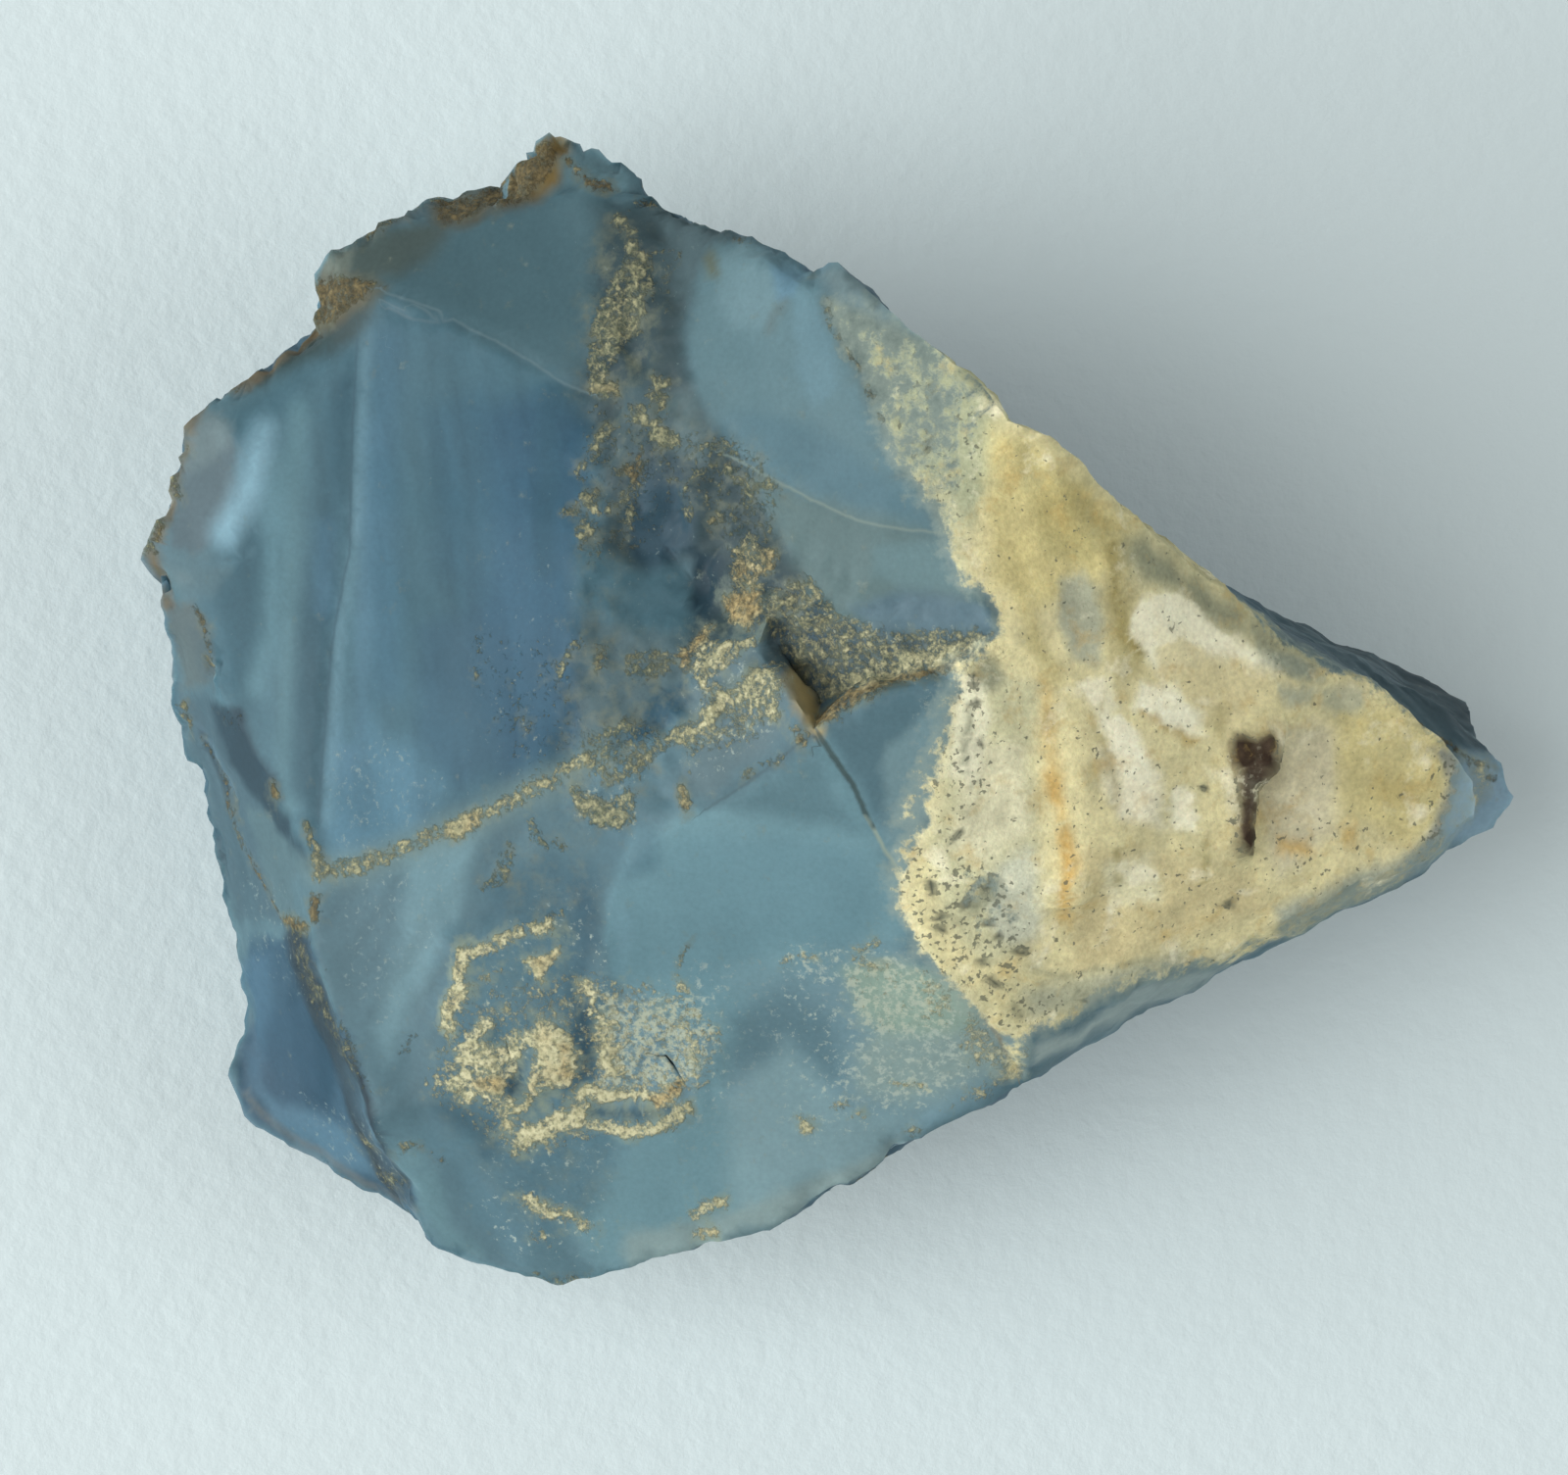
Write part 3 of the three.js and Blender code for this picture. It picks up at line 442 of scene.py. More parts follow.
# Each band: its colour, width, fade and strength, and the line that it follows.
OPAL_BANDS = [
    ("#6b5e45", 0.30, 0.3, 0.85, [(-13.2, 9.7), (-13.9, 9.1), (-14.6, 8.5), (-14.9, 8.3),
        (-15.6, 8.2), (-16.0, 7.9), (-16.4, 7.1), (-16.6, 6.3), (-16.8, 5.6), (-17.0, 4.8),
        (-17.3, 4.0), (-17.1, 3.1), (-17.0, 2.7)]),
    ("#54503f", 0.22, 0.3, 0.8, [(-10.5, 13.0), (-11.3, 12.6), (-12.2, 12.2), (-12.7, 11.8),
        (-13.0, 11.3)]),
    ("#587a83", 0.45, 0.5, 0.9, [(-13.5, 7.6), (-13.6, 5.6), (-13.7, 3.1), (-13.8, 0.6),
        (-13.8, -1.4), (-13.7, -2.4)]),
    ("#3c5a64", 0.30, 0.5, 0.5, [(-12.5, 2.6), (-12.8, 1.1), (-13.0, -0.9), (-13.0, -3.9)]),
    ("#3c5e6b", 0.30, 0.4, 0.8, [(-12.3, 8.3), (-12.5, 6.6), (-12.7, 4.1), (-12.7, 2.1)]),
    ("#35535f", 0.80, 0.7, 0.65, [(-12.4, 8.1), (-12.6, 6.1), (-12.7, 4.1), (-13.1, 1.9),
        (-13.3, 0.1), (-13.4, -1.9)]),
    ("#5b7f89", 0.50, 0.7, 0.8, [(-14.0, 6.3), (-14.1, 4.1), (-14.2, 1.9), (-14.6, 0.6)]),
    ("#54788a", 0.60, 0.6, 0.6, [(-11.5, 7.1), (-11.7, 4.1), (-12.0, 1.1), (-12.3, -1.6)]),
    ("#6b8e9a", 0.30, 0.4, 0.4, [(-11.7, 9.5), (-11.8, 7.7), (-12.0, 4.0), (-12.4, 2.1),
        (-12.5, 0.2), (-12.7, -2.8)]),
    ("#486a75", 0.40, 0.4, 0.7, [(-12.1, 4.1), (-12.2, 1.6), (-12.2, -0.7)]),
    ("#44687b", 0.50, 0.5, 0.6, [(-12.8, 4.6), (-12.9, 2.6)]),
    ("#728680", 0.60, 0.9, 0.6, [(-12.9, -4.1), (-11.7, -3.9), (-10.3, -3.3), (-9.1, -2.9),
        (-8.2, -2.4), (-7.0, -1.8), (-5.9, -1.1)]),
    (AZURE, 0.80, 0.8, 0.7, [(-11.2, 9.3), (-11.3, 6.6), (-11.3, 4.1), (-11.2, 0.6)]),
    (NIGHT, 0.60, 0.6, 0.8, [(-7.1, 7.8), (-7.1, 6.1), (-7.2, 3.6)]),
    # Painted highlight: a pale blue streak down the edge of the scoop on the far left, where the light
    # glints on it.
    ("#7fa4b2", 0.60, 0.8, 0.85, [(-14.4, 7.1), (-14.6, 6.3), (-14.8, 5.6), (-15.1, 5.0),
        (-15.4, 4.5)]),
    ("#4e6f7b", 0.12, 0.2, 0.7, [(-16.0, 3.7), (-15.3, 3.7), (-14.6, 4.1)]),
    ("#567280", 0.10, 0.15, 0.8, [(-16.0, -0.5), (-15.6, -1.0), (-15.2, -2.0)]),
    ("#4e6872", 0.10, 0.12, 0.7, [(-16.3, -0.1), (-15.8, -1.3), (-15.3, -2.6), (-14.9, -3.6)]),
    ("#2f434d", 0.12, 0.12, 0.8, [(-16.1, -0.4), (-15.4, -1.9), (-15.2, -3.1), (-14.9, -4.4)]),
    ("#45606a", 0.30, 0.4, 0.7, [(-15.3, -2.6), (-14.9, -4.4), (-14.6, -5.9)]),
    ("#5d808a", 0.25, 0.3, 0.7, [(-4.8, -3.1), (-5.2, -4.0), (-5.5, -5.0), (-5.5, -5.9), (-5.3, -7.0)]),
    ("#4a626a", 0.15, 0.2, 0.6, [(-0.4, -0.6), (-1.4, -1.4), (-3.1, -2.4)]),
    ("#9a8a5c", 0.40, 0.3, 0.9, [(-1.0, 0.8), (-0.6, 0.1), (-0.3, -0.5)]),
    ("#5c6c6c", 0.25, 0.3, 0.6, [(-1.5, 9.5), (-1.4, 9.9), (-1.1, 10.2)]),
    ("#5e6048", 0.30, 0.3, 0.7, [(-3.0, 11.4), (-2.9, 11.0)]),
    ("#26343b", 0.55, 0.3, 0.9, [(-13.6, -5.7), (-13.2, -7.0), (-12.8, -8.0), (-12.2, -9.3),
        (-11.8, -10.7), (-11.3, -11.8), (-10.9, -12.6)]),
    ("#6a6e68", 0.18, 0.2, 0.5, [(-15.0, -9.9), (-14.6, -10.4), (-13.7, -11.1), (-12.4, -11.8),
        (-11.2, -12.6), (-10.6, -12.8)]),
    ("#2c4450", 0.35, 0.3, 0.85, [(-7.9, -8.7), (-7.9, -9.3), (-8.1, -9.7)]),
    ("#33505c", 0.30, 0.3, 0.85, [(-6.2, -10.2), (-5.2, -10.3), (-3.9, -10.2)]),
    ("#2c4450", 0.40, 0.4, 0.7, [(-6.2, -7.4), (-6.2, -8.2), (-6.2, -9.2)]),
    ("#34505c", 0.50, 0.5, 0.6, [(-9.8, -10.2), (-8.7, -10.7), (-8.7, -11.2)]),
]
for colour, width, fade, strength, line in OPAL_BANDS:
    opal_tint = lay(opal_tint, colour, streak(line, width, fade, calm) * strength * on_top)

# Flow lines of the gel: faint streaks along each broad face, at an angle in degrees.
FLOWS = [(97, LEFT_FACE), (57, SEAM_FACET)]
FLOW_SPACING, FLOW_CONTRAST = 0.45, 0.16
for angle, outline in FLOWS:
    turn = math.radians(angle)
    along = plan @ (math.cos(turn), math.sin(turn))
    across = plan @ (-math.sin(turn), math.cos(turn))
    drawn_out = np.stack([across, 0.1 * along, 0.3 * place[:, 2]], axis=1)
    streaks = swell(FLOW_SPACING, 4, 24.0, drawn_out)
    opal_tint *= 1 + FLOW_CONTRAST * (streaks * patch(outline, 1.0))[:, None]

# Walls and the underside: the same blue, clouded over some five millimetres.
CLOUD_SIZE = 5.0
clouds = swell(CLOUD_SIZE, 3, 21.0)
wall_tint = np.tile(linear("#4a6878"), (len(place), 1))
wall_tint = lay(wall_tint, "#62848f", ease(clouds, 0.05, 0.6))
wall_tint = lay(wall_tint, "#33505f", ease(-clouds, 0.05, 0.6))
wall = (1 - ease(facing[:, 2], -0.05, 0.35))[:, None] * 0.9
opal_tint = opal_tint * (1 - wall) + wall_tint * wall
# The back wall near the tip: painted shade darkens all of it, as it faces away from the light, and thin
# gritty pale beds cross it.
LAYERED_SHADED_WALL = [
    (9.7, 3.4), (10.4, 2.8), (11.3, 1.9), (13.8, 0.4), (14.8, -0.3), (15.8, -1.0), (16.4, -1.6),
    (17.5, -2.3), (18.9, -0.9), (15.1, 4.1), (8.3, 6.1),
]
LAYER_THICKNESS = 0.35
LAYER_FLATNESS = (0.12, 0.12, 1.0)
layered_shaded_wall = patch(LAYERED_SHADED_WALL, 2.4) * (1 - 0.5 * ease(-facing[:, 2], 0.0, 0.5))
layers = swell(LAYER_THICKNESS, 3, 22.0, place * LAYER_FLATNESS)
# Painted shade over the whole back wall, which faces away from the light.
opal_tint = lay(opal_tint, "#2f3b41", layered_shaded_wall * 0.92)
opal_tint = lay(opal_tint, "#6c7f86", layered_shaded_wall * ease(layers, 0.05, 0.5) * 0.5)
gritty_beds = layered_shaded_wall * ease(layers, 0.0, 0.4)
# The tip: its own pale blue, painted paler still as painted light that lifts the shade its face lies
# in.
TIP = [(16.1, -1.1), (16.9, -1.3), (18.1, -1.9), (18.1, -2.6), (16.4, -3.3), (15.6, -3.2), (15.9, -2.1)]
opal_tint = lay(opal_tint, "#8aa8b8", patch(TIP, 0.5) * 0.9)

# ---------------------------------------------------------------------------------------
# Colours of the rind: cream and ochre host rock with white opal skins, grey windows where
# it thins, and a brown pit.
CREAM, YELLOW, OCHRE, SAND = "#dcd4a4", "#cdc289", "#bfb178", "#c8c7a1"
WHITE, STAIN, WINDOW, PIT = "#f8f7da", "#cfab5e", "#a9ad96", "#504336"
OLIVE, DRAB = "#978c58", "#858a74"

# White shards of opal that lie in the rind, crisp and bright.
LONG_SHARD = [(6.8, -0.2), (7.3, -0.1), (7.8, -1.0), (8.3, -1.9), (7.7, -1.8), (7.2, -1.3), (6.9, -0.5)]
SHORT_SHARD = [(8.6, -1.9), (9.2, -2.0), (9.2, -3.0), (8.6, -2.9)]
SHARDS = [
    LONG_SHARD,
    SHORT_SHARD,
    [(7.5, 2.1), (7.7, 2.7), (8.5, 2.9), (9.2, 2.5), (9.8, 2.0), (10.5, 1.5), (9.8, 1.4), (8.8, 1.7),
        (7.8, 1.4)],
    [(8.0, 0.6), (8.6, 0.5), (9.0, 0.0), (8.7, -0.1), (8.2, 0.1), (7.8, 0.3)],
    [(6.3, 0.6), (6.8, 0.8), (7.0, 0.3), (6.7, -0.1)],
    [(6.8, -3.9), (7.6, -3.7), (8.2, -4.1), (7.6, -4.4)],
]
# Each patch and band, as for the opal.
RIND_PATCHES = [
    ("#a9ae8e", 0.5, 1.0, [(-0.1, 10.3), (0.5, 10.2), (1.5, 9.8), (2.6, 9.2), (3.9, 8.1), (4.2, 7.1),
        (4.0, 5.6), (3.5, 4.6), (2.7, 4.8), (2.2, 5.5), (1.4, 6.7), (1.0, 7.7), (0.5, 8.8),
        (0.1, 9.6)]),
    ("#c4c49f", 0.4, 0.8, [(2.0, 6.1), (2.9, 5.6), (3.5, 4.6), (3.5, 3.1), (2.9, 4.1), (2.6, 5.0),
        (2.2, 5.5)]),
    (YELLOW, 0.6, 0.9, [(4.0, 7.1), (5.3, 6.5), (6.6, 5.5), (7.6, 4.5), (7.1, 3.4), (5.3, 2.6),
        (4.1, 3.1), (3.9, 5.1)]),
    ("#aea673", 0.6, 0.85, [(4.6, 6.6), (6.1, 5.7), (7.0, 4.6), (6.6, 3.6), (5.3, 3.9), (5.0, 5.1)]),
    ("#b3a770", 0.5, 0.6, [(5.3, 5.8), (6.5, 5.3), (6.8, 4.5), (5.8, 4.1), (5.2, 4.8)]),
    (SAND, 0.5, 0.9, [(3.2, 0.8), (4.1, 1.1), (5.2, 0.6), (5.1, -0.9), (5.3, -3.9), (4.8, -5.9),
        (3.9, -6.4), (2.9, -5.4), (2.5, -3.6)]),
    ("#dfdcb9", 0.5, 0.9, [(3.5, -0.7), (4.8, -0.9), (5.0, -3.1), (3.9, -3.9), (2.9, -3.4),
        (3.2, -1.9)]),
    ("#c4c8b2", 0.4, 0.9, [(4.2, -3.9), (5.1, -3.4), (5.3, -5.2), (5.1, -5.9), (4.2, -5.7),
        (3.9, -4.9)]),
    ("#d6d0b0", 0.5, 0.8, [(11.1, -0.4), (12.8, -0.4), (12.8, -3.1), (11.3, -4.2), (10.8, -2.4)]),
    (YELLOW, 0.6, 0.8, [(12.6, 0.2), (14.3, 0.1), (15.6, -1.0), (15.7, -2.6), (14.6, -3.4),
        (13.1, -2.6)]),
    ("#a89f70", 0.5, 0.7, [(6.6, 3.1), (7.3, 3.4), (8.0, 2.1), (7.8, 0.8), (7.2, 0.8), (6.8, 1.9)]),
    (CREAM, 0.7, 0.7, [(6.3, 0.6), (9.8, -0.1), (9.8, -4.4), (8.3, -5.7), (6.1, -5.4)]),
    ("#c9bc8e", 0.6, 0.7, [(6.1, -3.4), (10.1, -3.9), (11.3, -4.9), (8.8, -5.9), (6.1, -6.7)]),
    ("#f0ecd0", 0.4, 0.8, [(6.8, -0.9), (7.6, -0.5), (8.3, -1.6), (8.4, -3.0), (7.3, -2.7),
        (6.8, -1.9)]),
    ("#ece2b2", 0.5, 0.7, [(8.8, 1.6), (10.3, 1.1), (11.1, 0.6), (10.1, -0.4), (9.0, 0.3)]),
    (OCHRE, 0.3, 0.8, [(13.7, -1.5), (14.5, -1.6), (14.8, -1.9), (14.5, -2.5), (13.7, -2.2)]),
    (STAIN, 0.3, 0.7, [(11.3, -3.1), (12.1, -3.3), (12.3, -3.7), (11.3, -3.6)]),
    (STAIN, 0.25, 0.6, [(13.0, -2.9), (13.4, -2.9), (13.4, -3.5), (13.1, -3.5)]),
    (WHITE, 0.3, 0.8, [(7.5, 2.1), (7.7, 2.7), (8.5, 2.9), (9.2, 2.5), (9.8, 2.0), (10.4, 1.6),
        (11.0, 1.4), (11.1, 1.0), (10.3, 1.2), (9.8, 1.1), (9.5, 1.3), (8.3, 0.8), (7.8, 1.4)]),
    ("#d9cfa0", 0.3, 0.8, [(8.0, 2.1), (8.8, 2.0), (9.6, 1.4), (10.7, 1.0), (11.1, 0.6),
        (10.1, -0.4), (9.1, 0.1), (8.3, 0.8)]),
    (WHITE, 0.2, 1.0, LONG_SHARD),
    (WHITE, 0.25, 0.9, [(7.8, 0.6), (8.6, 0.6), (9.2, -0.1), (9.4, -0.6), (8.8, -0.6), (8.2, -0.3),
        (7.6, 0.1)]),
    (WHITE, 0.2, 0.9, SHORT_SHARD),
    (WHITE, 0.3, 0.6, [(6.3, 0.6), (7.0, 0.8), (7.3, 0.1), (6.7, -0.4)]),
    (WHITE, 0.3, 0.6, [(3.2, 0.9), (3.9, 0.8), (4.0, -0.4), (3.5, -1.9), (3.0, -1.6), (3.1, -0.4)]),
    ("#e6e3bd", 0.3, 0.7, [(6.7, -3.9), (8.1, -3.6), (8.3, -4.8), (7.1, -5.0)]),
    (WINDOW, 0.35, 0.95, [(5.7, 3.3), (6.3, 3.5), (6.7, 3.0), (6.8, 1.9), (6.7, 1.1), (6.1, 1.3),
        (5.7, 2.1)]),
    (WINDOW, 0.25, 0.9, [(11.2, 0.6), (12.2, 0.6), (12.3, 0.2), (11.4, 0.1)]),
    (WINDOW, 0.3, 0.8, [(12.2, 0.6), (13.5, 0.5), (13.6, 0.1), (12.6, -0.1)]),
    (DRAB, 0.7, 0.9, [(7.3, 4.3), (8.0, 4.2), (9.0, 3.4), (10.4, 2.5), (11.3, 1.9), (12.5, 1.1),
        (12.1, 0.8), (11.1, 1.3), (10.4, 1.8), (9.5, 2.1), (8.6, 3.0), (7.8, 3.1), (7.3, 3.7)]),
    ("#8d9584", 0.3, 0.9, [(10.8, 1.6), (11.8, 1.4), (12.5, 0.8), (11.6, 0.8), (11.0, 1.0)]),
    (DRAB, 0.3, 0.8, [(3.5, 1.3), (4.1, 1.4), (4.3, 0.8), (4.0, 0.5), (3.6, 0.8)]),
    (DRAB, 0.3, 0.8, [(4.2, -4.2), (3.7, -4.4), (3.4, -5.0), (3.6, -5.3), (4.2, -4.8)]),
    ("#a5ab97", 0.5, 0.8, [(4.8, -7.0), (6.3, -6.8), (8.8, -6.2), (10.1, -6.1), (7.6, -6.9),
        (6.3, -7.5), (5.1, -7.8)]),
    ("#9ba293", 0.4, 0.9, [(11.3, -5.0), (13.1, -4.3), (14.8, -3.5), (15.6, -2.9), (15.6, -3.6),
        (13.8, -4.8), (11.3, -5.9)]),
    ("#8b9189", 0.3, 0.9, [(15.2, -1.0), (16.4, -1.1), (16.4, -3.1), (15.3, -3.5), (15.4, -2.6),
        (15.8, -1.9)]),
]
RIND_BANDS = [
    (STAIN, 0.25, 0.4, 0.6, [(5.3, 0.8), (5.5, -0.4), (5.7, -1.9), (5.9, -3.4), (5.8, -5.2)]),
    ("#cba04e", 0.26, 0.3, 0.7, [(5.9, -3.1), (6.0, -3.9), (5.8, -4.5), (6.0, -5.2)]),
    ("#cba04e", 0.30, 0.3, 0.6, [(5.5, -1.6), (5.7, -2.2)]),
    (OLIVE, 0.28, 0.3, 0.85, [(7.0, 4.1), (7.1, 2.9), (7.3, 2.0), (7.7, 1.4)]),
    (OLIVE, 0.20, 0.3, 0.6, [(6.8, 0.6), (6.7, -0.3), (7.0, -1.3), (7.2, -2.3)]),
    (OLIVE, 0.15, 0.2, 0.7, [(7.2, -3.5), (7.2, -4.4)]),
    ("#b39d62", 0.14, 0.2, 0.85, [(7.8, 0.0), (8.5, -0.5), (9.0, -0.8), (9.2, -0.7)]),
    ("#b39d62", 0.12, 0.2, 0.6, [(8.0, 0.6), (8.3, 0.3)]),
    (OLIVE, 0.14, 0.2, 0.8, [(9.5, -3.3), (9.3, -4.2)]),
    (OLIVE, 0.20, 0.3, 0.6, [(9.5, -0.3), (9.8, 0.1), (9.8, -0.5)]),
    (YELLOW, 0.40, 0.5, 0.8, [(4.8, 4.1), (4.7, 3.1), (5.0, 1.9), (5.6, 0.8)]),
    ("#dcd9b8", 0.16, 0.3, 0.5, [(3.3, 0.8), (3.1, -0.1), (2.9, -1.3), (2.6, -2.4), (2.3, -3.4),
        (1.9, -4.1), (1.8, -4.7), (2.0, -5.5), (2.5, -6.3)]),
    ("#dcd9b8", 0.16, 0.3, 0.4, [(2.5, -6.3), (3.4, -7.1), (4.0, -7.8), (4.6, -8.1)]),
    (DRAB, 0.14, 0.2, 0.8, [(3.5, 0.0), (3.4, -0.9), (3.3, -1.6)]),
    (DRAB, 0.12, 0.2, 0.6, [(5.0, -6.5), (5.8, -6.7), (7.1, -6.5), (8.8, -6.2)]),
]
# Soot-dark specks in the rind: the large ones, each a short stroke.
SPECKS = [
    [(3.6, 0.9), (3.6, 0.7)], [(3.6, 0.2), (3.7, 0.2)], [(3.7, -0.8), (3.8, -0.8)],
    [(3.6, -1.8), (3.6, -1.9)], [(3.3, -2.4), (3.3, -2.5)], [(3.0, -3.2), (3.2, -3.0)],
    [(2.5, -4.3), (2.5, -4.6)], [(2.8, -5.2), (2.7, -5.4), (2.9, -5.6)], [(3.5, -4.8), (3.4, -5.1)],
    [(3.8, -4.5), (4.2, -4.2)], [(4.0, -5.4), (4.2, -5.6)], [(3.8, -6.3), (3.9, -6.2)],
    [(2.7, -6.6), (2.8, -6.7)], [(4.0, -6.8), (4.2, -6.9)], [(4.7, -6.0), (4.9, -6.1)],
    [(4.6, -7.5), (4.8, -7.7)], [(8.5, 2.0), (8.6, 2.0)], [(9.4, -1.9), (9.5, -2.0)],
    [(10.0, -4.8), (10.1, -4.8)], [(6.3, -7.1), (6.5, -7.2)], [(0.9, 8.2), (1.1, 8.1)],
    [(1.8, 7.4), (1.9, 7.2)], [(2.4, 6.7), (2.4, 6.5)], [(2.5, 8.1), (2.6, 7.9)],
]
SPECK_WIDTH, SPECK_FADE = 0.18, 0.14
rind_tint = np.tile(linear(CREAM), (len(place), 1))
for colour, fade, strength, outline in RIND_PATCHES:
    rind_tint = lay(rind_tint, colour, patch(outline, fade) * strength)
for colour, width, fade, strength, line in RIND_BANDS:
    rind_tint = lay(rind_tint, colour, streak(line, width, fade) * strength)
specks = np.max([streak(line, SPECK_WIDTH, SPECK_FADE) for line in SPECKS], axis=0)
rind_tint = lay(rind_tint, "#565b4e", specks)
# The pit: a brown hollow with darker grains in it and a stained lip.
PIT_DARK, PIT_LIP = "#33261c", "#8c7f5e"
PIT_OUTLINE = [
    (10.0, -0.7), (10.4, -0.7), (10.7, -0.8), (11.0, -0.6), (11.2, -0.8), (11.1, -1.3), (10.8, -1.9),
    (10.6, -2.6), (10.5, -3.5), (10.2, -3.5), (10.2, -2.8), (10.2, -2.1), (10.1, -1.4),
]
pit = patch(PIT_OUTLINE, 0.25)
rind_tint = lay(rind_tint, PIT_LIP, patch(PIT_OUTLINE, 0.7) * 0.6)
rind_tint = lay(rind_tint, PIT, pit)
rind_tint = lay(rind_tint, PIT_DARK, pit * ease(swell(0.4, 3, 31.0), -0.1, 0.3) * 0.85)
shards = np.max([patch(outline, 0.3) for outline in SHARDS], axis=0)
rind_wall = 1 - ease(facing[:, 2], 0.0, 0.5)
rind_tint = lay(rind_tint, "#a49d78", rind_wall * (0.6 + 0.4 * swell(0.8, 3, 32.0)))

# ---------------------------------------------------------------------------------------
# Crusts: tan and orange host rock left in thin scabs, brown iron stain in the hollows, and
# frosty bruised specks. Each mask holds how much of the surface it covers.

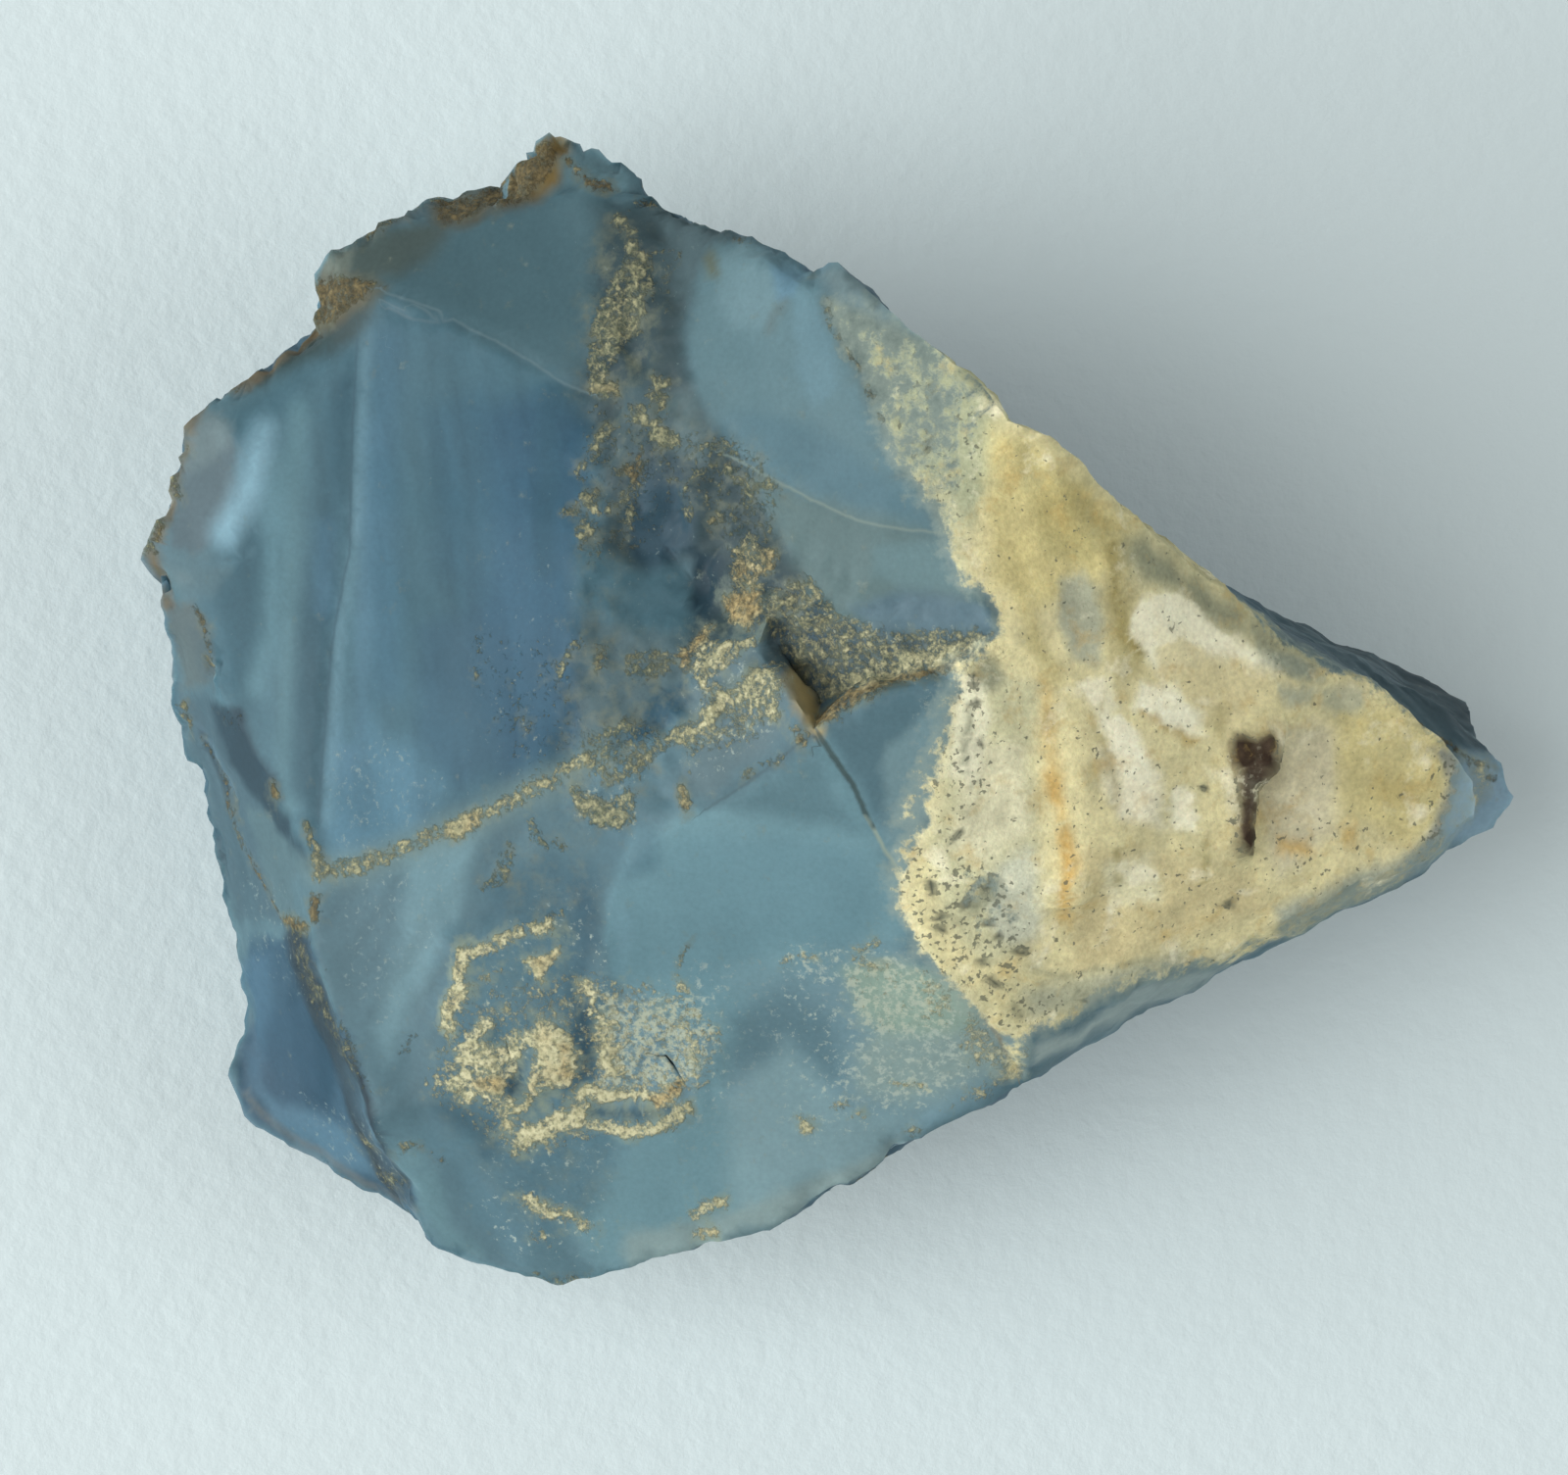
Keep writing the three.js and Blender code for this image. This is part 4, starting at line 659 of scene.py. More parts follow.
# Each scab: cover, stain, and its outline.
SCABS = [
    # the mottled band, from the top down
    (0.70, 0.2, [(-5.2, 11.7), (-4.5, 11.6), (-4.4, 10.8), (-4.5, 10.3), (-4.8, 9.5), (-5.1, 9.3),
        (-5.4, 8.6), (-5.7, 8.1), (-6.1, 8.1), (-6.2, 9.2), (-6.0, 10.1), (-5.7, 10.6), (-5.3, 11.1)]),
    (0.90, 0.3, [(-4.5, 8.4), (-4.0, 8.3), (-4.0, 7.8), (-4.2, 7.6), (-4.5, 8.0)]),
    (0.46, 0.3, [(-4.2, 11.8), (-3.6, 11.6), (-3.9, 10.8), (-4.2, 9.8), (-4.5, 10.6)]),
    (0.60, 0.2, [(-2.3, 5.8), (-1.6, 5.7), (-1.6, 5.1), (-2.0, 5.0)]),
    (0.44, 0.2, [(-3.9, 7.1), (-2.1, 6.8), (-1.1, 5.6), (-1.3, 4.1), (-2.6, 4.3), (-3.6, 5.6)]),
    (0.30, 0.1, [(-9.2, 2.1), (-7.2, 1.9), (-6.2, 0.6), (-6.3, -1.6), (-7.7, -2.1), (-8.7, -0.7)]),
    (0.34, 0.2, [(-6.2, 7.8), (-3.9, 7.8), (-3.6, 5.1), (-4.7, 4.1), (-6.2, 3.4), (-6.4, 5.6)]),
    (0.72, 0.6, [(-2.5, 4.1), (-2.1, 4.3), (-1.4, 4.2), (-1.2, 3.8), (-1.2, 3.4), (-1.8, 3.1),
        (-2.5, 3.1), (-2.6, 3.5)]),
    (0.95, 0.9, [(-2.7, 3.0), (-1.8, 3.1), (-1.7, 2.5), (-2.0, 2.0), (-2.5, 2.2), (-2.7, 2.6)]),
    (0.90, 0.9, [(-2.8, 2.1), (-3.0, 1.7), (-3.5, 1.3), (-3.6, 0.8), (-3.8, 1.1), (-3.8, 1.6),
        (-3.1, 2.1)]),
    (0.70, 0.3, [(-3.5, 1.4), (-3.0, 1.8), (-2.2, 1.7), (-2.2, 1.3), (-2.6, 0.8), (-3.1, 0.6),
        (-3.5, 0.7)]),
    (0.66, 0.2, [(-2.0, 0.7), (-1.4, 1.3), (-1.1, 0.8), (-1.2, -0.3), (-1.9, -0.3), (-2.2, 0.0)]),
    (0.50, 0.1, [(-3.6, -0.8), (-3.2, 0.3), (-3.1, 1.2), (-2.5, 1.6), (-1.9, 1.8), (-1.6, 1.2),
        (-1.1, 0.3), (-1.3, -0.2), (-2.0, -0.9), (-3.2, -1.2), (-3.5, -1.9), (-3.7, -1.6)]),
    (0.64, 0.2, [(-5.2, 1.4), (-3.9, 1.6), (-3.9, 0.8), (-4.6, 0.6), (-5.2, 0.8)]),
    (0.62, 0.4, [(-6.1, 1.7), (-5.5, 1.6), (-5.7, 0.8), (-6.0, 0.8)]),
    (0.55, 0.2, [(-6.2, -0.6), (-5.2, -0.1), (-4.2, -0.5), (-3.9, -0.9), (-4.8, -1.8), (-5.7, -1.9),
        (-6.2, -1.5)]),
    (0.78, 0.2, [(-6.6, -2.0), (-5.6, -2.2), (-4.9, -1.9), (-4.8, -2.8), (-5.2, -3.2), (-5.8, -3.0),
        (-6.4, -2.6)]),
    (0.90, 0.8, [(-0.9, -0.4), (-0.5, -0.5), (-0.5, -0.9), (-0.8, -1.0)]),
    # salt and pepper rock above the notch
    (0.60, 0.1, [(-1.8, 3.1), (-0.4, 3.4), (0.1, 2.6), (1.4, 2.1), (4.1, 2.0), (4.2, 1.6),
        (2.9, 1.2), (1.4, 0.8), (0.1, 0.3), (-0.3, -0.1), (-0.7, 0.6), (-1.3, 1.6), (-1.8, 2.1)]),
    (0.82, 0.2, [(0.6, 1.0), (2.4, 1.6), (4.0, 1.9), (4.2, 1.5), (2.1, 0.8), (0.1, 0.1), (-0.2, 0.2)]),
    # the lower left
    (0.44, 0.2, [(-9.6, -7.4), (-6.2, -6.5), (-3.6, -7.0), (-2.6, -8.2), (-3.0, -9.8), (-5.2, -10.7),
        (-7.2, -11.4), (-8.7, -11.0), (-10.3, -9.7)]),
    (0.95, 0.6, [(-7.8, -6.2), (-7.2, -6.2), (-6.5, -5.8), (-6.7, -6.2), (-7.0, -6.5), (-7.2, -7.0),
        (-7.4, -7.0), (-7.6, -6.7)]),
    (0.85, 0.3, [(-8.6, -7.5), (-8.4, -8.0), (-8.8, -8.4), (-9.1, -9.2), (-9.5, -9.2), (-9.6, -8.7),
        (-9.1, -8.2)]),
    (0.66, 0.2, [(-10.4, -9.4), (-9.4, -8.8), (-7.9, -8.3), (-7.5, -8.3), (-8.0, -8.7), (-8.2, -9.4),
        (-7.8, -10.2), (-8.1, -10.7), (-8.5, -10.3), (-9.5, -9.8)]),
    (0.60, 0.2, [(-9.6, -9.5), (-9.2, -8.8), (-8.7, -8.4), (-8.0, -8.4), (-7.8, -8.9), (-8.0, -9.4),
        (-8.4, -9.8), (-9.1, -10.1)]),
    (0.98, 0.5, [(-7.5, -8.2), (-7.2, -7.8), (-6.7, -8.0), (-6.5, -8.7), (-6.5, -9.5), (-7.1, -9.7),
        (-7.4, -9.1)]),
    (0.90, 0.8, [(-9.1, -9.4), (-8.5, -9.2), (-8.1, -9.6), (-8.5, -10.0), (-8.9, -9.8)]),
    (0.92, 0.5, [(-7.5, -8.3), (-7.2, -9.2), (-7.3, -9.8), (-7.8, -10.4), (-8.2, -10.9),
        (-8.5, -10.8), (-8.3, -10.3), (-7.8, -9.8), (-7.7, -9.2)]),
    (0.92, 0.2, [(-8.2, -11.2), (-7.7, -10.6), (-6.7, -10.1), (-6.0, -9.9), (-6.1, -10.4),
        (-7.2, -10.9), (-7.9, -11.3)]),
    (0.34, 0.1, [(-6.2, -6.9), (-5.8, -7.7), (-5.2, -8.1), (-3.9, -7.7), (-3.0, -8.4), (-3.3, -9.4),
        (-3.9, -9.8), (-6.2, -9.5)]),
    (0.82, 0.2, [(-6.0, -7.0), (-5.8, -7.7), (-5.3, -8.4), (-5.2, -9.4), (-5.8, -9.4), (-6.0, -8.4)]),
    (0.85, 0.3, [(-8.2, -12.4), (-7.5, -12.3), (-7.0, -12.6), (-6.1, -13.0), (-5.8, -13.2),
        (-6.4, -13.3), (-7.2, -12.9)]),
    (0.70, 0.2, [(-7.8, -13.2), (-7.2, -13.2), (-7.0, -13.6), (-7.5, -13.6)]),
    (0.90, 0.4, [(-3.7, -12.9), (-3.2, -12.4), (-2.5, -12.3), (-2.8, -12.7), (-3.5, -13.0)]),
    # the lower right, between the scoop and the rind
    (0.28, 0.0, [(0.1, -6.7), (1.4, -6.2), (2.7, -6.8), (3.4, -7.2), (2.7, -8.0), (2.1, -8.2),
        (1.2, -8.2), (0.5, -7.7)]),
    (0.46, 0.0, [(2.1, -6.4), (3.5, -6.8), (4.0, -7.2), (3.2, -7.2), (2.9, -8.1), (2.4, -7.7)]),
    (0.60, 0.2, [(3.5, -7.3), (4.2, -8.3), (4.9, -8.4), (5.0, -9.3), (4.3, -9.5), (3.9, -8.9),
        (3.5, -9.2), (3.2, -8.2)]),
    (0.95, 0.1, [(-0.8, -10.2), (-0.5, -10.3), (-0.3, -10.7), (-0.7, -10.8)]),
    (0.85, 0.1, [(1.8, -10.8), (2.1, -10.5), (2.4, -10.6), (2.0, -10.8)]),
    (0.50, 0.0, [(2.4, -10.3), (3.9, -9.3), (4.8, -9.3), (3.9, -9.9)]),
    # stained hollows of the upper left edge
    (0.80, 1.1, [(-8.4, 13.2), (-8.0, 14.0), (-7.6, 14.5), (-7.0, 14.4), (-6.9, 14.1), (-7.1, 13.6),
        (-7.4, 13.2), (-7.9, 13.1)]),
    (0.72, 1.1, [(-10.5, 13.0), (-10.2, 13.2), (-9.3, 13.1), (-8.5, 13.3), (-7.6, 13.2),
        (-7.4, 12.9), (-8.2, 12.7), (-9.1, 12.5), (-9.4, 12.3), (-9.9, 12.3), (-10.2, 12.7)]),
    (0.74, 1.0, [(-13.2, 11.1), (-12.1, 11.1), (-11.3, 10.7), (-11.8, 10.3), (-12.4, 10.0),
        (-13.2, 9.7)]),
    (0.75, 1.0, [(-12.3, 12.1), (-11.7, 12.4), (-10.5, 13.0), (-10.4, 12.8), (-11.3, 12.2),
        (-12.1, 11.8)]),
    # the crusty seam down the lower left side
    (0.52, 0.4, [(-13.7, -5.5), (-13.2, -5.8), (-12.9, -6.9), (-12.5, -7.8), (-12.1, -8.2),
        (-11.8, -9.3), (-11.7, -9.8), (-12.0, -9.7), (-12.5, -8.7), (-12.9, -7.9), (-13.4, -7.2),
        (-13.6, -6.4)]),
    (0.80, 0.5, [(-12.0, -10.8), (-11.6, -10.8), (-11.4, -11.2), (-11.8, -11.2)]),
    (0.70, 0.4, [(-11.5, -11.7), (-11.0, -11.8), (-10.8, -12.2), (-11.3, -12.3)]),
    (0.35, 0.7, [(-15.8, 0.1), (-15.0, 0.1), (-14.8, -0.6), (-15.0, -0.7), (-15.4, -0.3)]),
]
# Each thread: width, cover, stain, and its line.
THREADS = [
    (0.35, 0.70, 0.4, [(-5.4, 12.5), (-5.1, 12.1), (-5.0, 11.7)]),
    (0.35, 0.90, 0.7, [(-5.8, 8.1), (-5.5, 8.1)]),
    (0.28, 0.85, 0.4, [(-4.9, 7.5), (-4.5, 7.2), (-4.0, 6.7)]),
    (0.25, 0.75, 0.8, [(-4.8, 6.5), (-4.8, 5.8), (-5.1, 6.1)]),
    (0.18, 0.80, 0.3, [(-5.7, 7.2), (-5.8, 6.8), (-6.1, 6.2), (-6.4, 5.9)]),
    (0.20, 0.80, 0.4, [(-6.0, 5.6), (-6.0, 5.0), (-6.1, 4.4)]),
    (0.22, 0.75, 0.4, [(-6.6, 5.0), (-6.2, 5.3)]),
    (0.16, 0.75, 0.3, [(-6.2, 4.7), (-6.3, 4.1)]),
    (0.12, 0.62, 0.2, [(-5.6, 5.0), (-5.0, 5.5)]),
    (0.15, 0.65, 0.3, [(-4.9, 5.6), (-5.0, 5.0), (-5.2, 4.5)]),
    (0.18, 0.70, 0.5, [(-3.6, 5.5), (-3.6, 4.8)]),
    (0.22, 0.75, 0.8, [(-2.9, 4.8), (-3.0, 4.5)]),
    (0.20, 0.60, 0.2, [(-3.2, 6.7), (-2.5, 6.7), (-2.1, 6.1)]),
    (0.20, 0.62, 0.2, [(-2.7, 6.2), (-2.1, 5.8), (-1.3, 5.6)]),
    (0.15, 0.66, 0.3, [(-6.3, 1.9), (-6.6, 1.4), (-6.8, 0.7)]),
    (0.20, 0.50, 0.2, [(-7.7, -0.3), (-7.6, -0.5)]),
    (0.22, 0.42, 0.2, [(-8.8, 1.9), (-8.8, 1.1), (-8.8, 0.5)]),
    (0.22, 0.88, 0.6, [(-3.7, -1.9), (-3.6, -2.5)]),
    (0.30, 0.82, 0.1, [(-3.5, -0.7), (-2.9, -0.1), (-2.4, 0.5), (-1.9, 0.9), (-1.6, 0.8)]),
    (0.26, 0.78, 0.1, [(-3.1, 0.6), (-3.0, 1.2), (-2.5, 1.6), (-1.9, 1.7)]),
    (0.26, 0.76, 0.1, [(-2.5, 0.2), (-1.9, 0.3), (-1.5, 0.1), (-1.3, -0.2)]),
    (0.12, 0.66, 0.4, [(-1.1, -1.1), (-1.6, -1.4), (-2.1, -1.7)]),
    (0.34, 0.72, 0.3, [(-5.2, -1.6), (-4.6, -1.2), (-3.9, -0.7), (-3.6, -0.5)]),
    (0.36, 0.66, 0.4, [(-12.9, -4.1), (-11.7, -3.9), (-10.8, -3.6), (-10.3, -3.3), (-9.7, -3.1),
        (-9.1, -2.9)]),
    (0.40, 0.85, 0.6, [(-9.4, -3.1), (-8.8, -2.6)]),
    (0.36, 0.66, 0.4, [(-8.8, -2.7), (-8.2, -2.4), (-7.5, -2.0), (-7.0, -1.8), (-6.2, -1.2)]),
    (0.18, 0.75, 0.5, [(-13.3, -2.9), (-13.1, -3.4), (-13.0, -4.3)]),
    (0.16, 0.80, 0.9, [(-13.1, -4.8), (-13.1, -5.3)]),
    (0.28, 0.62, 0.3, [(-8.1, -3.5), (-8.2, -4.2), (-8.6, -4.5)]),
    (0.25, 0.60, 0.3, [(-7.5, -2.8), (-7.3, -3.3), (-6.8, -3.5)]),
    (0.28, 0.78, 0.3, [(-9.4, -6.5), (-9.2, -6.2), (-8.6, -6.0), (-8.1, -5.7), (-7.5, -5.5),
        (-7.1, -5.5)]),
    (0.30, 0.85, 0.5, [(-9.4, -6.7), (-9.2, -6.1)]),
    (0.34, 0.85, 0.4, [(-9.7, -8.1), (-9.6, -7.5), (-9.3, -7.0)]),
    (0.12, 0.60, 0.5, [(-9.4, -7.0), (-8.8, -6.8), (-8.2, -6.5)]),
    (0.18, 0.60, 0.1, [(-7.2, -5.3), (-6.8, -5.2)]),
    (0.32, 0.90, 0.3, [(-6.2, -9.7), (-5.2, -9.8), (-4.5, -9.8)]),
    (0.32, 0.92, 0.9, [(-4.5, -9.9), (-4.2, -9.9), (-3.9, -9.6)]),
    (0.34, 0.80, 0.3, [(-7.9, -10.9), (-7.2, -10.6), (-6.2, -10.4), (-5.2, -10.7), (-4.1, -10.5),
        (-3.6, -10.2)]),
    (0.30, 0.85, 0.3, [(-7.5, -9.9), (-7.2, -10.4), (-6.4, -10.3)]),
    (0.22, 0.80, 0.1, [(-6.2, -6.9), (-6.0, -7.5), (-5.6, -7.9)]),
    (0.25, 0.62, 0.5, [(-10.9, -11.2), (-10.4, -11.1)]),
    (0.22, 0.45, 0.8, [(-10.9, -8.8), (-10.5, -8.2)]),
    (0.22, 0.55, 0.8, [(-9.9, -11.4), (-9.8, -11.7)]),
    (0.16, 0.60, 0.4, [(-7.5, -14.4), (-6.8, -14.5), (-6.1, -14.4)]),
    (0.18, 0.80, 0.5, [(-3.4, -13.4), (-2.9, -13.3)]),
    (0.16, 0.60, 0.1, [(-1.1, -6.3), (-0.4, -6.2)]),
    (0.14, 0.60, 0.1, [(0.6, -6.0), (1.2, -5.9)]),
    (0.28, 0.65, 0.1, [(0.7, -6.2), (1.1, -6.5), (1.5, -6.5)]),
    (0.14, 0.70, 0.1, [(0.6, -10.3), (1.0, -10.3)]),
    (0.12, 0.60, 0.1, [(0.4, -9.9), (0.2, -10.2)]),
    (0.12, 0.60, 0.1, [(1.5, -9.4), (2.6, -9.6)]),
    (0.20, 0.90, 0.2, [(-9.5, -9.5), (-8.7, -9.1), (-8.0, -8.7)]),
    (0.18, 0.85, 0.3, [(-9.2, -9.9), (-8.5, -9.5), (-8.1, -9.2)]),
    (0.24, 0.95, 0.8, [(-6.8, -8.5), (-6.7, -9.2)]),
    (0.24, 0.85, 0.3, [(-8.8, -8.8), (-8.2, -8.6), (-7.5, -8.3)]),
    (0.14, 0.70, 0.1, [(-3.6, -6.0), (-3.9, -6.7), (-3.6, -7.2)]),
    (0.12, 0.60, 0.1, [(-4.9, -7.2), (-4.4, -7.7), (-3.8, -7.9)]),
    (0.16, 0.70, 0.1, [(-3.6, -7.9), (-3.4, -8.5), (-3.5, -9.2)]),
    # stains along edges
    (0.14, 0.80, 1.0, [(-6.7, 14.0), (-6.4, 13.6), (-6.1, 13.3), (-5.6, 13.2)]),
    (0.20, 0.62, 0.8, [(-16.0, 7.9), (-15.6, 8.2), (-14.9, 8.3)]),
    (0.20, 0.70, 0.7, [(-16.8, 6.2), (-16.6, 5.5)]),
    (0.24, 0.70, 0.7, [(-17.0, 4.8), (-17.3, 4.0)]),
    (0.12, 0.55, 0.6, [(-16.4, 7.1), (-16.6, 6.2)]),
    (0.15, 0.70, 0.8, [(-4.8, 12.9), (-4.5, 12.8)]),
    (0.24, 0.55, 0.9, [(-2.6, 11.9), (-1.8, 11.8)]),
    (0.12, 0.60, 0.9, [(-0.8, 11.3), (-0.2, 11.1)]),
    (0.14, 0.60, 0.8, [(-16.1, 2.7), (-15.9, 2.1), (-15.8, 1.1)]),
    (0.18, 0.75, 0.6, [(-16.5, 0.2), (-16.4, -0.3)]),
    (0.10, 0.60, 0.9, [(-16.0, -0.7), (-15.4, -1.6), (-15.1, -2.8), (-14.8, -3.6), (-14.4, -4.5),
        (-13.9, -5.4)]),
    (0.22, 0.90, 0.9, [(-13.8, -5.3), (-13.5, -5.5)]),
    (0.16, 0.80, 0.8, [(-14.2, -1.9), (-14.1, -2.2)]),
    (0.20, 0.85, 1.0, [(-0.3, -0.3), (0.5, 0.1), (1.4, 0.6), (2.2, 0.8), (3.2, 1.1), (4.2, 1.5)]),
    (0.12, 0.70, 0.8, [(-0.1, 10.3), (0.2, 9.3), (0.7, 8.6), (1.1, 7.8), (1.4, 7.1)]),
    (0.16, 0.30, 0.6, [(-1.6, 9.4), (-1.4, 9.9), (-1.1, 10.1)]),
    (0.14, 0.70, 0.9, [(11.0, 2.0), (12.3, 1.1), (13.8, 0.3), (14.8, -0.3), (15.8, -1.0),
        (17.0, -1.8)]),
]
# How far, in mm, the edge of a scab or thread fades, and the film of rock flour around it.
SCAB_FADE, SCAB_FILM = 0.2, 0.45
THREAD_IN, THREAD_OUT, THREAD_FILM = 0.075, 0.175, 0.3
cover = np.zeros(len(place))
stain = np.zeros(len(place))
film = np.zeros(len(place))
for amount, rust, outline in SCABS:
    depth = depth_inside(outline)
    scab = ease(depth, -SCAB_FADE, SCAB_FADE)
    cover = np.maximum(cover, amount * scab)
    stain = np.maximum(stain, rust * scab)
    film = np.maximum(film, amount ** 2 * ease(depth, -SCAB_FILM, SCAB_FILM))
for width, amount, rust, line in THREADS:
    reach, _ = line_reach(line)
    past_edge = reach - width / 2
    thread = 1 - ease(past_edge, -THREAD_IN, THREAD_OUT)
    cover = np.maximum(cover, amount * thread)
    stain = np.maximum(stain, rust * thread)
    film = np.maximum(film, 0.8 * amount ** 2 * (1 - ease(past_edge, 0.0, THREAD_FILM)))
# Where a scab is cracked open and the dark opal shows between its parts.
CRACKED_OPEN = [
    [(-7.6, -8.7), (-7.7, -9.2), (-7.9, -9.8)], [(-6.0, -10.2), (-5.4, -10.2), (-4.6, -10.1)],
    [(-7.0, -9.7), (-7.3, -10.1), (-7.7, -10.4)], [(-1.9, 1.4), (-2.2, 1.0), (-2.6, 0.6)],
]
CRACK_WIDTH, CRACK_FADE = 0.3, 0.25
for line in CRACKED_OPEN:
    cover = cover * (1 - streak(line, CRACK_WIDTH, CRACK_FADE))
cover = cover * on_top
film = film * on_top
# Crusts on the walls and the underside, some three millimetres wide.
wall_scabs = ease(swell(3.5, 3, 41.0), 0.15, 0.55) * (1 - on_top)
cover = np.maximum(cover, 0.6 * wall_scabs)
stain = np.maximum(stain * on_top, wall_scabs * (0.5 + swell(2.0, 2, 42.0)))

# Ground where the crust is pale and chalky, not olive: how pale, and its outline.
CHALKY = [
    (1.0, [(-10.2, -5.4), (-6.2, -5.2), (-4.7, -6.7), (-2.6, -6.4), (-2.5, -9.7), (-5.2, -11.4),
        (-7.7, -11.7), (-10.4, -9.7)]),
    (1.0, [(-1.4, -5.7), (2.9, -5.7), (5.3, -7.4), (5.3, -9.7), (-1.1, -11.4)]),
    (1.0, [(-8.7, -11.9), (-2.1, -11.9), (-2.1, -14.2), (-8.7, -14.2)]),
    (0.6, [(-3.9, 2.1), (-2.8, 4.1), (-1.1, 4.3), (-1.1, 2.1), (-0.1, -0.4), (-3.6, -2.6)]),
    (0.5, [(-13.2, -4.4), (-6.2, -0.9), (-5.2, -1.9), (-11.2, -4.4)]),
    (0.6, [(-0.3, -0.3), (0.5, 0.6), (4.1, 2.1), (4.3, 1.5), (1.4, 0.5), (-0.1, -0.5)]),
    (0.3, [(-1.9, 3.4), (0.3, 3.1), (4.1, 2.4), (4.1, 1.9), (1.4, 0.8), (-0.3, 0.1)]),
]
GROUND_FADE = 0.8
chalky = strongest(CHALKY, GROUND_FADE)

# Bruised frost: each with how dense it is, and its outline.
FROST = [
    (0.34, [(-5.2, -6.9), (-3.1, -5.9), (-1.1, -5.9), (1.4, -5.7), (2.9, -6.9), (2.9, -9.4),
        (1.4, -10.9), (-1.1, -11.7), (-3.6, -11.9), (-5.2, -9.9)]),
    (0.58, [(0.1, -6.2), (1.4, -6.0), (2.9, -6.7), (3.5, -7.5), (2.9, -8.6), (1.4, -8.6), (0.4, -7.7)]),
    (0.48, [(-1.4, -5.8), (0.6, -5.9), (0.3, -7.2), (-1.1, -6.9)]),
    (0.50, [(0.3, -7.9), (2.9, -7.9), (4.1, -8.9), (3.6, -9.7), (1.4, -10.4), (-0.1, -9.7)]),
    (0.62, [(-6.0, -6.7), (-4.9, -7.2), (-3.1, -7.0), (-2.7, -8.4), (-3.3, -9.7), (-6.0, -9.7)]),
    (0.28, [(-7.2, -3.9), (-5.2, -4.4), (-5.2, -6.9), (-6.2, -9.4), (-9.2, -8.4), (-8.7, -5.9)]),
    (0.20, [(-6.2, 7.6), (-2.1, 7.1), (-1.6, 4.1), (-3.6, 1.1), (-6.2, 0.6), (-6.4, 4.1)]),
    (0.38, [(-12.8, -1.1), (-11.4, -0.4), (-10.4, -1.1), (-9.4, -1.9), (-10.2, -3.1), (-11.4, -3.8),
        (-12.8, -4.0)]),
    (0.32, [(-12.9, -4.4), (-10.7, -3.6), (-9.2, -3.4), (-9.4, -5.2), (-10.4, -7.2), (-11.4, -8.4),
        (-12.4, -7.2)]),
    (0.46, [(5.3, -9.2), (7.6, -7.9), (10.1, -6.8), (12.1, -6.0), (14.8, -4.3), (14.6, -4.9),
        (12.1, -6.3), (10.1, -7.2), (7.6, -8.3), (5.6, -9.4)]),
    (0.22, [(-9.2, 4.1), (-6.2, 4.1), (-6.2, -1.4), (-9.2, -2.4)]),
    (0.16, [(-6.2, 11.6), (-3.1, 12.3), (-3.1, 7.6), (-6.2, 7.1)]),
    (0.32, [(-9.2, -10.4), (-5.2, -10.9), (-5.7, -14.2), (-8.7, -14.2)]),
    (0.34, [(-15.3, -3.9), (-13.7, -4.4), (-12.9, -7.9), (-14.9, -6.7)]),
    (0.34, [(-13.7, -9.7), (-11.2, -10.2), (-10.7, -12.4), (-13.7, -11.2)]),
    (0.40, [(-1.9, 3.1), (-0.4, 3.3), (0.3, 2.5), (2.9, 2.1), (4.1, 2.0), (4.2, 1.6), (1.4, 0.8),
        (0.1, 0.2), (-0.3, -0.1), (-0.8, 0.8)]),
    (0.36, [(-3.6, 1.1), (-2.1, 1.9), (-1.1, 1.1), (-1.1, -0.7), (-3.1, -1.9), (-3.9, -1.6)]),
    (0.40, [(-6.7, -1.9), (-4.7, -1.4), (-4.7, -3.4), (-6.4, -3.1)]),
    (0.42, [(2.1, 0.6), (3.0, 0.8), (2.9, -1.4), (1.4, -3.1), (1.5, -1.9)]),
]
frost = np.maximum(strongest(FROST, GROUND_FADE) * on_top, 0.45 * gritty_beds)

# Soot-dark grains in the rind: how many there are, by place.
PEPPER = [
    (0.80, [(2.0, 0.6), (3.9, 1.0), (4.2, -0.9), (3.9, -2.4), (3.0, -3.1), (2.0, -3.4), (1.5, -2.9)]),
    (1.05, [(1.5, -3.6), (4.3, -3.4), (5.0, -5.9), (4.6, -7.9), (3.6, -7.4), (2.4, -6.5), (1.5, -5.4)]),
    (0.90, [(3.4, -6.7), (6.3, -6.9), (5.3, -8.0), (4.1, -8.2)]),
    (0.90, [(-0.1, 10.3), (1.4, 10.1), (3.9, 7.3), (3.9, 5.8), (2.6, 5.1), (1.1, 8.1)]),
    (0.90, [(15.1, -1.1), (17.1, -1.4), (16.6, -3.1), (15.3, -4.2), (14.8, -3.1)]),
    (0.40, [(8.8, -3.9), (13.8, -1.9), (14.8, -3.6), (11.3, -5.4)]),
    (0.20, [(3.9, 0.8), (8.8, 0.8), (9.8, -5.9), (5.3, -6.4)]),
]
# Pepper as strong as this takes the dark that is laid down in the rind, as in the pit.
LAID_DARK = 3.0
pepper = np.maximum(strongest(PEPPER, GROUND_FADE), LAID_DARK * np.maximum(specks, pit))
